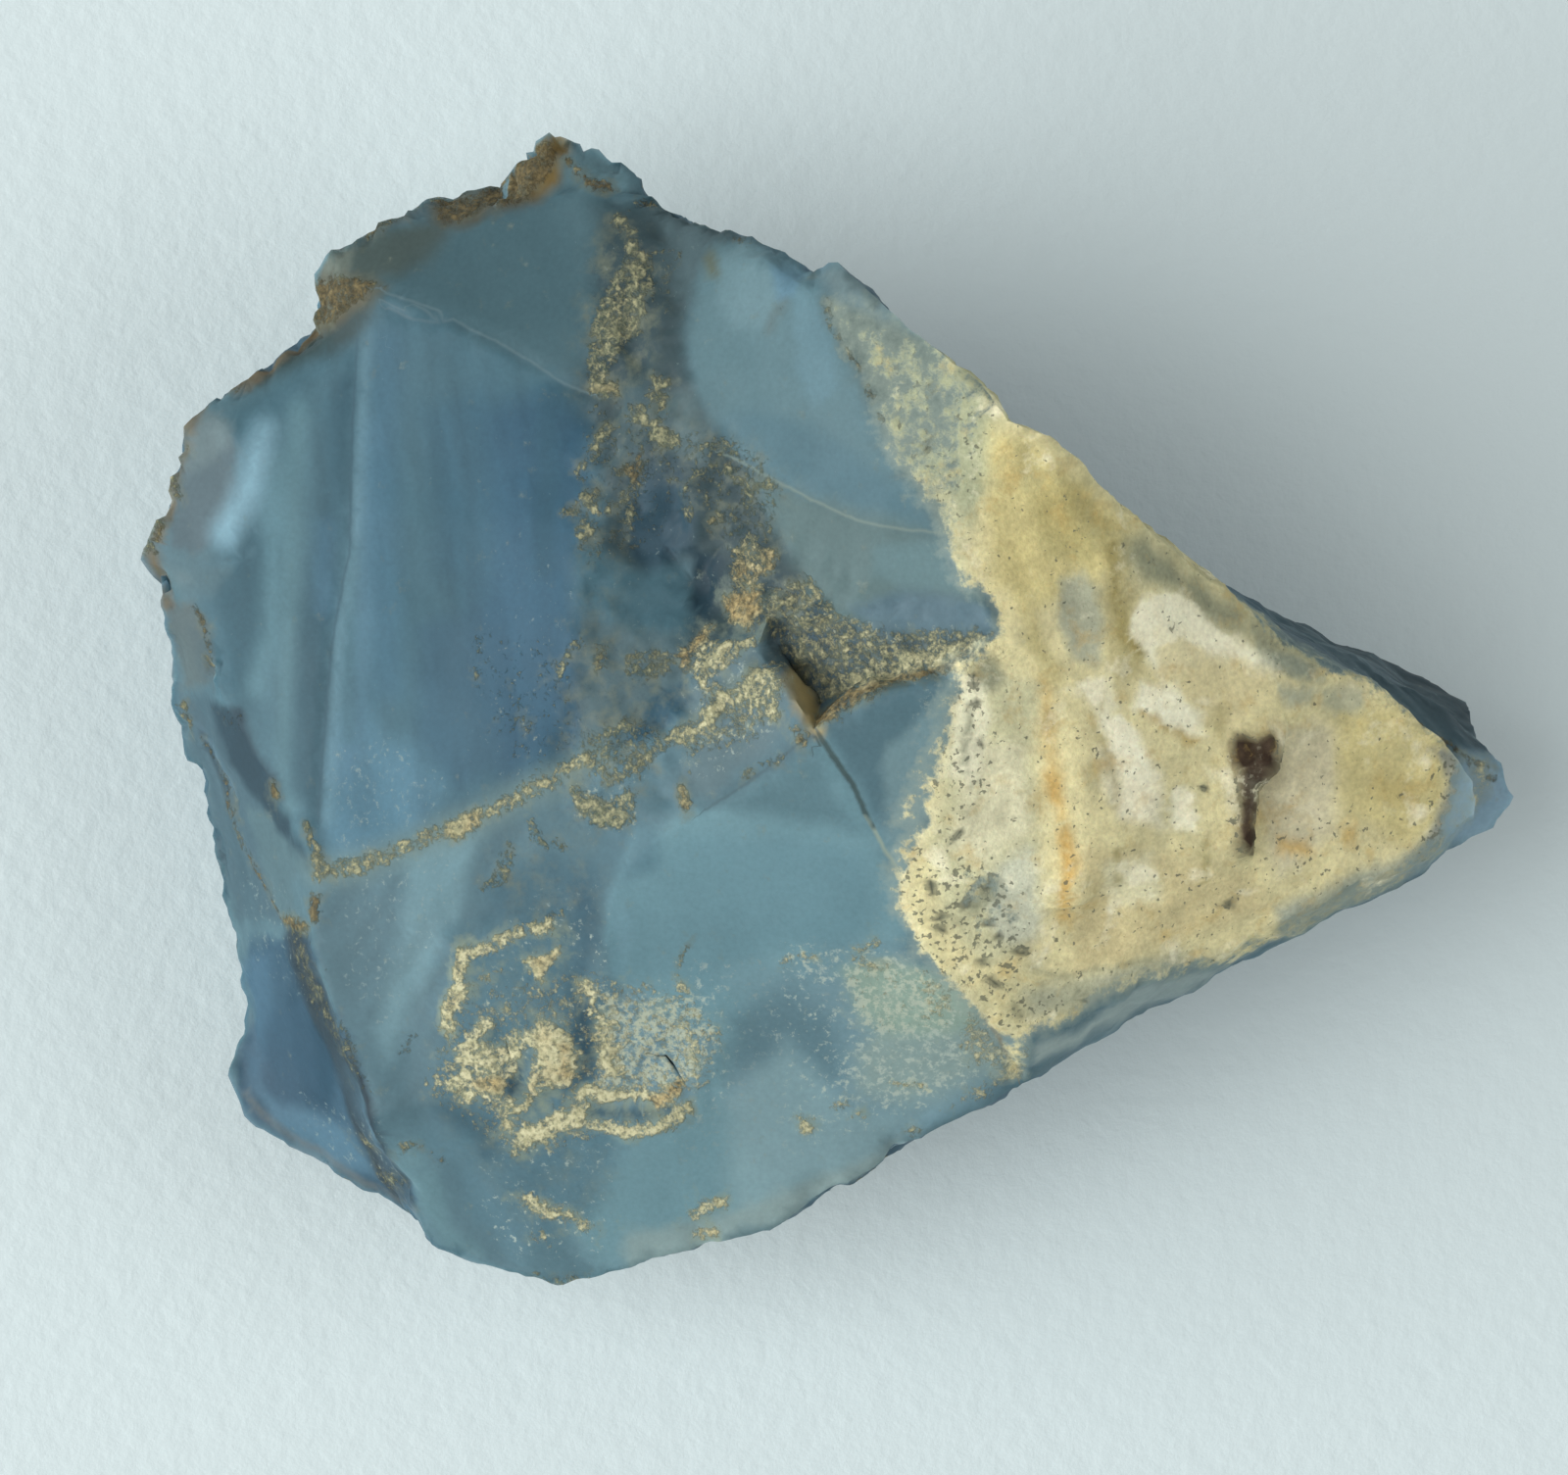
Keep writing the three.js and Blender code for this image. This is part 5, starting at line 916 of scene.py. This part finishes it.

# Thin lines: healed cracks, fresh ones, and one painted highlight along a ridge. Each has its
# half width in mm, colour and line. The material draws them, from the distance to the nearest one.
LINES = [
    (0.030, "#3a5662", [(-12.0, 9.5), (-12.1, 7.7), (-12.2, 4.0), (-12.6, 2.1), (-12.8, 0.2),
        (-13.0, -2.8)]),
    (0.030, "#637a80", [(-11.3, 10.6), (-9.9, 10.1), (-9.2, 9.7), (-8.4, 9.3), (-7.4, 8.7),
        (-6.8, 8.3), (-6.1, 8.0)]),
    (0.030, "#566c74", [(-11.2, 10.2), (-10.5, 9.9), (-9.8, 9.8)]),
    # Painted highlight: the pale line along the ridge between the bowl and the facet under it, where
    # the light catches it.
    (0.036, "#75867f", [(-2.6, 6.4), (-1.8, 6.0), (-1.1, 5.6), (-0.5, 5.3), (0.1, 5.0), (0.8, 4.7),
        (1.9, 4.5), (2.9, 4.4)]),
    (0.075, "#36433f", [(-0.3, -0.6), (0.1, -1.2), (0.6, -1.9), (0.9, -2.6), (1.1, -3.0)]),
    (0.050, "#8f9c8c", [(0.9, -2.6), (1.3, -3.4), (1.7, -4.0)]),
    (0.025, "#475c62", [(-0.4, -0.6), (-1.1, -1.1), (-2.1, -1.9), (-3.1, -2.5)]),
    (0.060, "#7d6a48", [(3.9, -7.7), (4.3, -8.3), (4.7, -9.1)]),
]
TINT_REACH, WIDTH_REACH = 0.6, 0.4
line_offset = np.full(len(place), 9.0)
half_width = np.zeros(len(place))
line_tint = np.tile(linear("#8fa6a4"), (len(place), 1))
for half, colour, line in LINES:
    reach, side = line_reach(line, plan)
    nearest = reach < np.abs(line_offset)
    line_offset = np.where(nearest, reach * side, line_offset)
    near = nearest & (reach < TINT_REACH)
    drawn = np.where(reach < WIDTH_REACH, half, 0.0)
    half_width = np.where(near, drawn, half_width)
    line_tint[near] = linear(colour)
half_width = half_width * on_top

# ---------------------------------------------------------------------------------------
# Relief, in mm along the surface: shell-like waves on the broken faces, hackles in the
# mottled band, lumps and grain on the rind and crusts, nicked ridges, and the pit.
HACKLES = [
    (-5.5, 12.5), (-4.2, 12.3), (-3.6, 10.6), (-3.9, 8.6), (-2.6, 7.1), (-1.8, 5.8), (-1.1, 4.1),
    (1.4, 3.1), (4.1, 2.1), (2.1, 0.8), (0.1, 0.1), (-1.1, 0.8), (-2.1, -0.4), (-3.6, -1.9),
    (-5.2, -3.1), (-6.5, -2.6), (-7.2, -1.6), (-6.4, 0.6), (-6.4, 5.6), (-6.2, 8.1), (-6.2, 10.1),
]
CRUSTY = [
    (-9.8, -5.9), (-6.4, -5.2), (-5.7, -7.2), (-2.6, -7.9), (-3.1, -10.2), (-4.9, -10.9),
    (-6.2, -13.2), (-7.7, -13.7), (-8.7, -11.9), (-10.2, -9.9),
]
# Where olive veils of rock flour lie over dark clear opal, and how thick they are.
VEILS = [
    (0.9, [(-6.0, 12.1), (-4.7, 12.1), (-4.2, 10.6), (-4.6, 8.1), (-6.2, 7.8), (-6.2, 9.8)]),
    (0.6, [(-5.2, 8.1), (-3.6, 7.3), (-2.1, 6.8), (-0.9, 5.6), (-1.4, 4.1), (-2.6, 4.6), (-3.9, 6.1),
        (-5.2, 6.1)]),
    (0.5, [(-6.2, 5.6), (-5.2, 6.1), (-5.2, 3.1), (-5.9, 0.8), (-6.3, 2.1)]),
    (0.7, [(-6.2, 2.1), (-3.9, 1.7), (-3.3, 0.6), (-3.9, -1.1), (-5.2, -2.6), (-6.7, -3.1),
        (-6.8, -1.1)]),
    (0.8, [(-1.9, 3.4), (-0.4, 3.1), (0.6, 2.1), (-0.1, 0.1), (-1.1, 1.6)]),
    (0.5, [(-8.7, -3.4), (-6.4, -3.4), (-5.7, -4.4), (-6.2, -5.9), (-7.9, -5.7)]),
    (0.3, CRUSTY),
]
veined = strongest(VEILS, 1.2) * on_top

# Heights in mm: waves of the breaks, crags and lumps of the mottled band, scabs, the plates
# and grain of the rind, what fills the pit, how deep cracks go, and waves of the walls.
SMOOTH_WAVES, FINE_WAVES = 0.06, 0.014
CRAGS, CRAG_LUMPS, CRAG_DROP = 0.12, 0.06, 0.09
SCAB_RISE, SCAB_LUMPS = 0.03, 0.03
RIND_RISE, RIND_PLATES, RIND_GRAIN = 0.04, 0.12, 0.04
PIT_FILL = 0.3
CRACK_DEPTH = 0.05
WALL_WAVES, WALL_RISE = 0.14, 0.03
# The whole skin is let out by this, because rounding the ridges drew it in.
LET_OUT = 0.07
PLATE_STEPS = 4
crags = 1 - np.abs(swell(1.3, 3, 51.0)) * 2.2
lumps = swell(0.6, 3, 52.0)
plates = PLATE_STEPS * swell(2.0, 3, 55.0)
plates = (np.floor(plates) + ease(plates % 1.0, 0.3, 0.7)) / PLATE_STEPS
rind_grain = swell(0.5, 3, 56.0)
rough_ground = np.maximum(patch(HACKLES, 1.2), 0.15 * patch(CRUSTY, 1.2)) * on_top
deep_rind = ease(patch(RIND_EDGE, 3.0), 0.55, 1.0)
steep = 1 - ease(np.abs(facing[:, 2]), 0.2, 0.7)
beside_crack = 1 - ease(np.abs(line_offset), 0.05, 0.2)
relief = LET_OUT + SMOOTH_WAVES * swell(3.6, 2, 53.0) + FINE_WAVES * swell(0.8, 2, 54.0)
relief += rough_ground * (CRAGS * crags + CRAG_LUMPS * lumps - CRAG_DROP)
relief += ease(cover, 0.2, 0.9) * (SCAB_RISE + SCAB_LUMPS * lumps)
relief += ease(rind, 0.3, 1.0) * (
    RIND_RISE + RIND_PLATES * plates * deep_rind + RIND_GRAIN * rind_grain
)
relief += PIT_FILL * pit * (1 + 0.5 * swell(0.6, 2, 57.0))
relief -= CRACK_DEPTH * ease(half_width, 0.0, 0.03) * beside_crack
relief += steep * (WALL_WAVES * swell(1.1, 4, 60.0) + WALL_RISE)

# Ridges are chipped: fine nicks, deepest at the upper left, and broader bites.
NICK_LEAST, NICK_MORE, BITES = 0.05, 0.14, 0.12
ridge_tree = kdtree.KDTree(len(ridge_points))
for index, point in enumerate(ridge_points):
    ridge_tree.insert(point, index)
ridge_tree.balance()
from_ridge = np.array([ridge_tree.find(Vector(point * MM))[2] for point in place]) / MM
nicks = ease(swell(0.7, 3, 58.0), 0.0, 0.4)
bites = ease(swell(2.0, 3, 59.0), 0.1, 0.5)
upper_left = ease(-place[:, 0], -2.0, 6.0) * ease(place[:, 1], -9.0, -1.0)
relief -= (1 - ease(from_ridge, 0.1, 0.5)) * (NICK_LEAST + NICK_MORE * upper_left) * nicks
relief -= (1 - ease(from_ridge, 0.2, 0.9)) * BITES * bites
# Nothing moves where the stone rests.
relief *= ease(place[:, 2], 0.05, 0.6)

# Crust nearly fills the hollows of its own ground, up to the plane that lies among them.
CRUST_FILL = 0.75
filled = patch(CRUSTY, 1.2) * on_top
ground = filled > 0.1
flat = np.column_stack([plan, np.ones(len(plan))])
slope, *_ = np.linalg.lstsq(flat[ground], place[ground, 2], rcond=None)
place[:, 2] += CRUST_FILL * filled * (flat @ slope - place[:, 2])
place += facing * relief[:, None]
place[:, 2] = np.maximum(place[:, 2], 0.0)

rounded.vertices.foreach_set("co", (place * MM).astype(np.float32).ravel())
rounded.update()
rounded.shade_smooth()
rounded.set_sharp_from_angle(angle=HARD_EDGE)

# What the material reads, kept for every point as one number or one colour.
kept = {
    "opal_tint": opal_tint, "rind_tint": rind_tint, "line_tint": line_tint, "rind": rind,
    "cover": cover, "film": film, "chalky": chalky, "stain": stain, "frost": frost,
    "pepper": pepper, "shards": shards, "veined": veined, "line_offset": line_offset,
    "line_half_width": half_width,
}
for name, amounts in kept.items():
    if amounts.ndim == 1:
        layer = rounded.attributes.new(name, "FLOAT", "POINT")
        layer.data.foreach_set("value", amounts.astype(np.float32))
    else:
        layer = rounded.attributes.new(name, "FLOAT_COLOR", "POINT")
        with_alpha = np.column_stack([amounts, np.ones(len(amounts))])
        layer.data.foreach_set("color", with_alpha.astype(np.float32).ravel())


def add_node(tree, kind, inputs=None, **settings):
    """Adds a node with its settings, and sets or links its inputs."""
    node = tree.nodes.new(kind)
    for name, value in settings.items():
        setattr(node, name, value)
    for name, value in (inputs or {}).items():
        if isinstance(value, bpy.types.NodeSocket):
            tree.links.new(value, node.inputs[name])
        else:
            node.inputs[name].default_value = value
    return node


def paint(colour):
    """A hex colour as a node's colour value."""
    return (*linear(colour), 1)


# Broken common opal: a waxy, faintly see-through silica, broken and never polished, so it
# has soft wide highlights, light that spreads under the surface, and crisp dry crusts.
finish = bpy.data.materials.new("broken_opal")
finish.use_nodes = True
tree = finish.node_tree
surface = tree.nodes["Principled BSDF"]
NOISE, RANGE = "ShaderNodeTexNoise", "ShaderNodeMapRange"
MATH, MIX = "ShaderNodeMath", "ShaderNodeMix"
socket = {
    name: add_node(tree, "ShaderNodeAttribute", attribute_name=name).outputs[
        "Fac" if amounts.ndim == 1 else "Color"
    ]
    for name, amounts in kept.items()
}
# Each grain: its size in mm, detail, roughness, and how far its shapes are curled. Real dust
# and rock flour are finer than 0.06 mm, and are drawn at 0.10 to 0.17 mm so that they show.
GRAINS = [
    ("cloud_grain", 2.6, 3, 0.5, 0.0),
    ("ragged_grain", 0.5, 6, 0.62, 0.0),
    ("scab_grain", 0.17, 5, 0.70, 0.15),
    ("tone_grain", 0.17, 6, 0.68, 0.1),
    ("dust_grain", 0.13, 5, 0.6, 0.0),
    ("frost_grain", 0.20, 6, 0.70, 0.1),
    ("rock_grain", 1.0, 7, 0.62, 0.0),
    ("chalk_grain", 1.3, 8, 0.62, 0.3),
    ("rust_grain", 0.8, 6, 0.62, 0.0),
    ("fleck_grain", 0.10, 3, 0.5, 0.0),
    ("veil_grain", 1.8, 6, 0.6, 0.4),
    ("speck_grain", 0.15, 3, 0.5, 0.3),
]
# The grains lie this far apart in the noise, so that no two have the same pattern.
GRAIN_SHIFT = 3.7
where = add_node(tree, "ShaderNodeTexCoord").outputs["Object"]
for order, (name, size, detail, coarse, curl) in enumerate(GRAINS):
    socket[name] = add_node(tree, NOISE, {
        "Vector": where, "Scale": 1 / (size * MM), "Detail": detail, "Roughness": coarse,
        "Distortion": curl, "W": GRAIN_SHIFT * order,
    }, noise_dimensions="4D").outputs[0]

# Sums, each one value times a weight plus another: grain added to what a point keeps makes
# the edge of a mask crumble. The tone of a scab follows its thickness, and is lifted on
# chalky ground.
SUMS = [
    ("film_sum", "ragged_grain", 2.0, "film"),
    ("frost_sum", "frost_grain", 2.6, "frost"),
    ("scab_sum", "scab_grain", 2.2, "cover"),
    ("thickness", "scab_sum", 0.32, -0.93),
    ("toned", "tone_grain", 1.4, "thickness"),
    ("lifted", "chalky", 0.29, "toned"),
    ("rust_sum", "rust_grain", 1.2, "stain"),
    ("shard_sum", "shards", 0.28, "chalk_grain"),
    ("pepper_sum", "pepper", 0.09, "speck_grain"),
    ("hem_sum", "ragged_grain", 0.9, "rind"),
    ("rind_sum", "frost_grain", 0.5, "hem_sum"),
    ("line_wander", "ragged_grain", 0.16, -0.08),
]
for name, source, weight, added in SUMS:
    socket[name] = add_node(tree, MATH, {
        0: socket[source], 1: weight, 2: socket.get(added, added)
    }, operation="MULTIPLY_ADD").outputs[0]

# A line, a healed crack or the painted highlight along one ridge, is where the distance to
# it, wandering a little, is under its half width.
shifted = add_node(tree, MATH, {0: socket["line_offset"], 1: socket["line_wander"]})
distance = add_node(tree, MATH, {0: shifted.outputs[0]}, operation="ABSOLUTE")
socket["inside_line"] = add_node(tree, MATH, {
    0: socket["line_half_width"], 1: distance.outputs[0]
}, operation="SUBTRACT").outputs[0]

# Masks: the value that each reads, where it starts and where it is full, and what it gives
# at those two.
MASKS = [
    ("clouding", "cloud_grain", 0.3, 0.7, 0.92, 1.08),
    ("dusting", "dust_grain", 0.3, 0.7, 0.93, 1.07),
    ("fleck", "fleck_grain", 0.70, 0.78, 0.0, 0.3),
    ("vein", "ragged_grain", 0.45, 0.64, 0.0, 0.7),
    ("depth", "frost_grain", 0.47, 0.34, 0.0, 0.55),
    ("haze", "film_sum", 1.22, 1.78, 0.0, 0.75),
    ("frosting", "frost_sum", 1.80, 2.05, 0.0, 0.75),
    ("flour_in_frost", "cover", 0.1, 0.5, 0.0, 1.0),
    ("line", "inside_line", -0.03, 0.04, 0.0, 0.75),
    ("rusting", "rust_sum", 0.95, 1.5, 0.0, 0.8),
    ("rust_depth", "tone_grain", 0.38, 0.62, 0.0, 1.0),
    ("pores", "dust_grain", 0.46, 0.36, 0.0, 0.6),
    ("mottling", "rock_grain", 0.3, 0.7, 0.82, 1.24),
    ("veil", "veil_grain", 0.46, 0.34, 0.0, 0.35),
    ("ochre", "rust_grain", 0.54, 0.68, 0.0, 0.45),
    ("chalk", "shard_sum", 0.57, 0.70, 0.0, 0.75),
    ("grit", "dust_grain", 0.3, 0.7, 0.84, 1.14),
    ("specks", "pepper_sum", 0.655, 0.70, 0.0, 0.8),
    ("laid_dark", "pepper", 1.3, 2.4, 0.0, 1.0),
    ("fringe", "rind_sum", 0.85, 1.20, 0.0, 0.7),
    ("rind_mask", "rind_sum", 1.11, 1.28, 0.0, 1.0),
]
for name, source, start, full, least, most in MASKS:
    socket[name] = add_node(tree, RANGE, {
        0: socket[source], 1: start, 2: full, 3: least, 4: most
    }).outputs[0]
# The scabs' own mask rises and levels off softly.
socket["scab_mask"] = add_node(tree, RANGE, {
    0: socket["scab_sum"], 1: 1.52, 2: 1.94, 3: 0.0, 4: 0.92
}, interpolation_type="SMOOTHSTEP").outputs[0]
# Veils and clear depths show only where the ground is veined.
for name in ("vein", "depth"):
    socket[name] = add_node(tree, MATH, {
        0: socket[name], 1: socket["veined"]
    }, operation="MULTIPLY").outputs[0]

# The tones of a scab, from its thin olive edge to the cream of its thickest grains.
TONES = [(0.12, "#59624f"), (0.34, "#7b7e65"), (0.56, "#a7a480"), (0.80, "#cfcba4")]
scab_tone = add_node(tree, "ShaderNodeValToRGB", {0: socket["lifted"]})
socket["scab_tone"] = scab_tone.outputs[0]
ramp = scab_tone.color_ramp.elements
ramp.remove(ramp[1])
for level, colour in TONES[1:]:
    ramp.new(level).color = paint(colour)
ramp[0].position = TONES[0][0]
ramp[0].color = paint(TONES[0][1])

# Colours, each laid over another as far as a mask says. Those that multiply only shade it.
LAID, SHADED = "MIX", "MULTIPLY"
COLOURS = [
    # the opal itself: clouding over millimetres, faint dust, milky flecks
    ("clouded", SHADED, 1.0, "opal_tint", "clouding"),
    ("dusted", SHADED, 1.0, "clouded", "dusting"),
    ("opal", LAID, "fleck", "dusted", "#748c93"),
    # the mottled band: olive veils of rock flour over dark clear opal
    ("veiled_opal", LAID, "vein", "opal", "#707664"),
    ("deepened", LAID, "depth", "veiled_opal", "#2a3f4a"),
    # a thin uneven film of rock flour around every scab
    ("flour", LAID, "chalky", "#656d60", "#84917f"),
    ("hazed", LAID, "haze", "deepened", "flour"),
    # frost: crushed specks, bluish white on clean opal and tan where there is rock flour
    ("crushed", LAID, "chalky", "#7c8f8e", "#aab7ac"),
    ("floured", LAID, "chalky", "#aaa988", "#b7bb9f"),
    ("frost_tint", LAID, "flour_in_frost", "crushed", "floured"),
    ("frosted", LAID, "frosting", "hazed", "frost_tint"),
    ("lined", LAID, "line", "frosted", "line_tint"),
    # scabs of host rock: rusty where stained, with the dark opal showing through pores
    ("rust_light", LAID, "chalky", "#6a5836", "#c8ac70"),
    ("rust", LAID, "rust_depth", "#33240f", "rust_light"),
    ("rusted", LAID, "rusting", "scab_tone", "rust"),
    ("pored", LAID, "pores", "rusted", "#48504a"),
    ("scabbed", LAID, "scab_mask", "lined", "pored"),
    # the rind: cream rock mottled with olive veils, ochre and chalk, and soot-dark grains
    ("mottled", SHADED, 1.0, "rind_tint", "mottling"),
    ("veiled_rind", LAID, "veil", "mottled", "#a3a585"),
    ("ochred", LAID, "ochre", "veiled_rind", "#c2a562"),
    ("chalked", LAID, "chalk", "ochred", "#f8f4d4"),
    ("gritty", SHADED, 1.0, "chalked", "grit"),
    ("soot", LAID, "tone_grain", "#2a2a22", "#878c78"),
    ("dark", LAID, "laid_dark", "soot", "rind_tint"),
    ("rock", LAID, "specks", "gritty", "dark"),
    # the rind over the opal, with a pale fringe
    ("fringed", LAID, "fringe", "scabbed", "#93a196"),
    ("whole", LAID, "rind_mask", "fringed", "rock"),
]
for name, blend, amount, under, over in COLOURS:
    below, above = (
        paint(colour) if colour.startswith("#") else socket[colour] for colour in (under, over)
    )
    socket[name] = add_node(tree, MIX, {
        0: socket.get(amount, amount), 6: below, 7: above
    }, data_type="RGBA", blend_type=blend).outputs[2]

# Rock is dry and rough with a sandy tooth; the waxy opal has next to none.
TOOTH_DEPTH = 0.03 * MM
dry = add_node(tree, MATH, {0: socket["rind_mask"], 1: socket["scab_mask"]}, operation="MAXIMUM")
roughness = add_node(tree, RANGE, {0: dry.outputs[0], 1: 0.0, 2: 1.0, 3: 0.5, 4: 0.85})
tooth = add_node(tree, RANGE, {0: dry.outputs[0], 1: 0.0, 2: 1.0, 3: 0.15, 4: 1.5})
tooth_height = add_node(tree, MATH, {
    0: socket["dust_grain"], 1: tooth.outputs[0], 2: socket["scab_mask"]
}, operation="MULTIPLY_ADD")
bump = add_node(tree, "ShaderNodeBump", {
    "Height": tooth_height.outputs[0], "Distance": TOOTH_DEPTH, "Strength": 0.8
})
tree.links.new(socket["whole"], surface.inputs["Base Color"])
tree.links.new(roughness.outputs[0], surface.inputs["Roughness"])
tree.links.new(bump.outputs[0], surface.inputs["Normal"])
surface.inputs["IOR"].default_value = 1.45
surface.inputs["Specular IOR Level"].default_value = 0.2
surface.inputs["Subsurface Weight"].default_value = 0.2
surface.inputs["Subsurface Radius"].default_value = (0.7, 1.0, 1.0)
surface.inputs["Subsurface Scale"].default_value = 0.6 * MM
rounded.materials.clear()
rounded.materials.append(finish)

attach(lump, "root")
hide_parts("rough_opal")

# ---------------------------------------------------------------------------------------
# Floor, lights and camera: matt white paper with a faint felt of fibres, three large soft
# lights on the left and a weaker one on the right, and a camera that looks straight down.
PAPER_SIZE = 2.0
FIBRE_SIZE, FIBRE_DEPTH = 0.7 * MM, 0.15 * MM
bpy.ops.mesh.primitive_plane_add(size=PAPER_SIZE)
floor = bpy.context.object
floor.name = "paper"
paper = bpy.data.materials.new("matt_paper")
paper.use_nodes = True
paper_surface = paper.node_tree.nodes["Principled BSDF"]
paper_surface.inputs["Base Color"].default_value = paint("#d3e1e2")
paper_surface.inputs["Roughness"].default_value = 0.9
fibres = add_node(paper.node_tree, NOISE, {
    "Vector": add_node(paper.node_tree, "ShaderNodeTexCoord").outputs["Object"],
    "Scale": 1 / FIBRE_SIZE, "Detail": 5, "Roughness": 0.6,
})
felt = add_node(paper.node_tree, "ShaderNodeBump", {
    "Height": fibres.outputs[0], "Distance": FIBRE_DEPTH, "Strength": 0.35,
})
paper.node_tree.links.new(felt.outputs[0], paper_surface.inputs["Normal"])
floor.data.materials.append(paper)

LIGHT_SIZE = 0.35
LIGHT_DISTANCE = 0.6
LIT_LEVEL = 8 * MM


def area_light(name, around, up, watts):
    """A square soft light of that many watts, around and up in degrees, aimed at the stone."""
    lamp = bpy.data.lights.new(name, "AREA")
    lamp.size = LIGHT_SIZE
    lamp.energy = watts
    holder = bpy.data.objects.new(name, lamp)
    out = LIGHT_DISTANCE * math.cos(math.radians(up))
    holder.location = (
        out * math.cos(math.radians(around)),
        out * math.sin(math.radians(around)),
        LIGHT_DISTANCE * math.sin(math.radians(up)),
    )
    aim = Vector((0, 0, LIT_LEVEL)) - holder.location
    holder.rotation_euler = aim.to_track_quat("-Z", "Y").to_euler()
    bpy.context.scene.collection.objects.link(holder)


area_light("left_high", 180, 65, 1.22)
area_light("left_low", 180, 20, 2.05)
area_light("front_left_low", 210, 20, 1.47)
area_light("right_fill", 0, 40, 0.85)
world = bpy.data.worlds.new("studio")
bpy.context.scene.world = world
world.use_nodes = True
backdrop = world.node_tree.nodes["Background"]
backdrop.inputs["Color"].default_value = paint("#ffffff")
backdrop.inputs["Strength"].default_value = 0.30

CAMERA_HEIGHT = 400 * MM
FRAME_WIDTH = 40 * MM
FRAMED_LEVEL = 8 * MM
FRAME_CENTRE = (-1.15 * MM, -0.71 * MM)
SENSOR_WIDTH = 36
camera = bpy.data.objects.new("camera", bpy.data.cameras.new("camera"))
camera.data.sensor_width = SENSOR_WIDTH
camera.data.lens = SENSOR_WIDTH * (CAMERA_HEIGHT - FRAMED_LEVEL) / FRAME_WIDTH
camera.location = (*FRAME_CENTRE, CAMERA_HEIGHT)
bpy.context.scene.collection.objects.link(camera)
bpy.context.scene.camera = camera
bpy.context.scene.view_settings.view_transform = "Standard"
